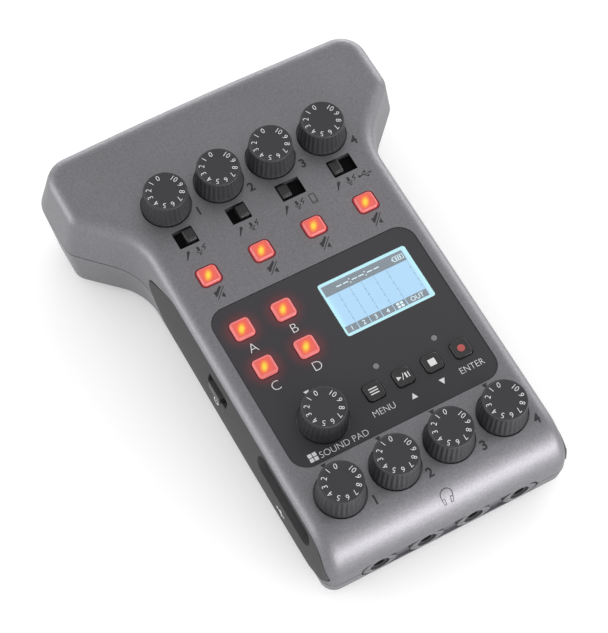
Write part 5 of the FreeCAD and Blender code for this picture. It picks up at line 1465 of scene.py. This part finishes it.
class RECORDER_OT_inside(Dressing, bpy.types.Operator):
    """Give the boards and the parts on them their finishes"""

    bl_idname = "recorder.inside"
    bl_label = "Inside"

    def execute(self, context):
        for nodes, finish, slot in (
                (("main_board", "front_board", "rear_board"), "Circuit board", "board"),
                (("gain_potentiometers", "headphone_potentiometers", "power_switch_body"), "Plated metal",
                 "plated_sheet"),
                (("tact_switches", "input_switch_bodies"), "Inner plastic", "inner_plastic")):
            for node in nodes:
                paint(node, finish)
        return {"FINISHED"}


def lamp(name, spot, aim, size, power):
    """Soft studio light in metres and watts, seen only by what it lights."""
    data = bpy.data.lights.new(name, "AREA")
    data.shape = "RECTANGLE"
    data.size, data.size_y = size
    data.energy = power
    light = carried(name, data)
    light.location = spot
    light.rotation_mode = "QUATERNION"
    light.rotation_quaternion = (Vector(aim) - Vector(spot)).to_track_quat("-Z", "Y")
    light.visible_camera = False


def floor_finish():
    """Pale floor that shows white to the camera and keeps the shadow."""
    shader, where = start_finish("Studio floor", Roughness=0.9, Specular_IOR_Level=0.1)
    path = add(shader.id_data, "ShaderNodeLightPath", {})
    mirrored = maths("MAXIMUM", path["Is Glossy Ray"], path["Is Transmission Ray"])
    shown = maths("MAXIMUM", path["Is Camera Ray"], mirrored)
    paper = mix_colour(noise(where, 3.0), (0.86, 0.86, 0.86), (0.88, 0.88, 0.88))
    fill(shader, {"Base Color": paper, "Emission Color": (1, 1, 1), "Emission Strength": times(shown, 0.2)})
    return bpy.data.materials["Studio floor"]


class RECORDER_OT_studio(Dressing, bpy.types.Operator):
    """Set up the floor, the soft lights, the white surround and the camera"""

    bl_idname = "recorder.studio"
    bl_label = "Studio"

    def execute(self, context):
        scene = context.scene
        form = bmesh.new()
        bmesh.ops.create_grid(form, x_segments=8, y_segments=8, size=3.0)
        mesh = as_mesh(form, "studio_floor")
        mesh.materials.append(floor_finish())
        carried("studio_floor", mesh)
        lamp("front_softbox", (0.27, -0.95, 0.15), (0, -0.08, 0.02), (1.3, 0.26), 11.5)
        lamp("left_softbox", (-0.85, 0.4, 0.2), (0, 0, 0.02), (0.8, 0.3), 3.5)
        lamp("right_softbox", (0.8, 0.55, 0.18), (0, 0, 0.02), (1.1, 0.3), 4.5)
        lamp("rear_softbox", (0.2, 1.0, 0.12), (0, 0.05, 0.02), (0.8, 0.22), 2.5)
        world = scene.world = bpy.data.worlds.new("Studio air")
        world.use_nodes = True
        tree = world.node_tree
        way = go_on("ShaderNodeSeparateXYZ", {0: add(tree, "ShaderNodeTexCoord", {})["Generated"]})
        sky = go_on("ShaderNodeMapRange", {
            "Value": way[2], "From Min": 0.3, "From Max": 0.8, "To Min": 0.95, "To Max": 0.85})[0]
        fill(tree.nodes["Background"], {"Strength": sky, "Color": (1, 1, 1)})
        scene.view_settings.view_transform = "Standard"
        camera = bpy.data.cameras.new("camera")
        camera.lens, camera.sensor_width = 130.73, 36.0
        camera.clip_start, camera.clip_end = 0.05, 20.0
        eye = scene.camera = carried("camera", camera)
        eye.location = (-0.1702257, -0.3314942, 0.5873583)
        eye.rotation_euler = Euler([radians(angle) for angle in (33.05615, 1.51535, -28.92951)], "XYZ")
        return {"FINISHED"}


OPERATORS = [
    RECORDER_OT_finishes, RECORDER_OT_case, RECORDER_OT_knobs, RECORDER_OT_lit_keys,
    RECORDER_OT_transport_keys, RECORDER_OT_levers, RECORDER_OT_display, RECORDER_OT_lamps,
    RECORDER_OT_deck_marks, RECORDER_OT_panel_marks, RECORDER_OT_socket_marks, RECORDER_OT_sockets,
    RECORDER_OT_underside, RECORDER_OT_inside, RECORDER_OT_studio,
]


class RECORDER_PT_panel(bpy.types.Panel):
    """Lists the recorder's pieces in the sidebar"""

    bl_idname = "RECORDER_PT_panel"
    bl_label = "Podcast recorder"
    bl_space_type = "VIEW_3D"
    bl_region_type = "UI"
    bl_category = "Recorder"

    def draw(self, context):
        for group in (context.scene.recorder_sizes, context.scene.recorder_colours):
            for key in group.__annotations__:
                self.layout.prop(group, key)
        for operator in OPERATORS:
            self.layout.operator(operator.bl_idname)


CLASSES = [RecorderColours, RecorderSizes, *OPERATORS, RECORDER_PT_panel]


def register():
    for item in CLASSES:
        bpy.utils.register_class(item)
    bpy.types.Scene.recorder_sizes = PointerProperty(type=RecorderSizes)
    bpy.types.Scene.recorder_colours = PointerProperty(type=RecorderColours)


def unregister():
    del bpy.types.Scene.recorder_colours
    del bpy.types.Scene.recorder_sizes
    for item in reversed(CLASSES):
        bpy.utils.unregister_class(item)


def main():
    register()
    for operator in OPERATORS:
        group, name = operator.bl_idname.split(".")
        getattr(getattr(bpy.ops, group), name)()


if __name__ == "__main__":
    main()
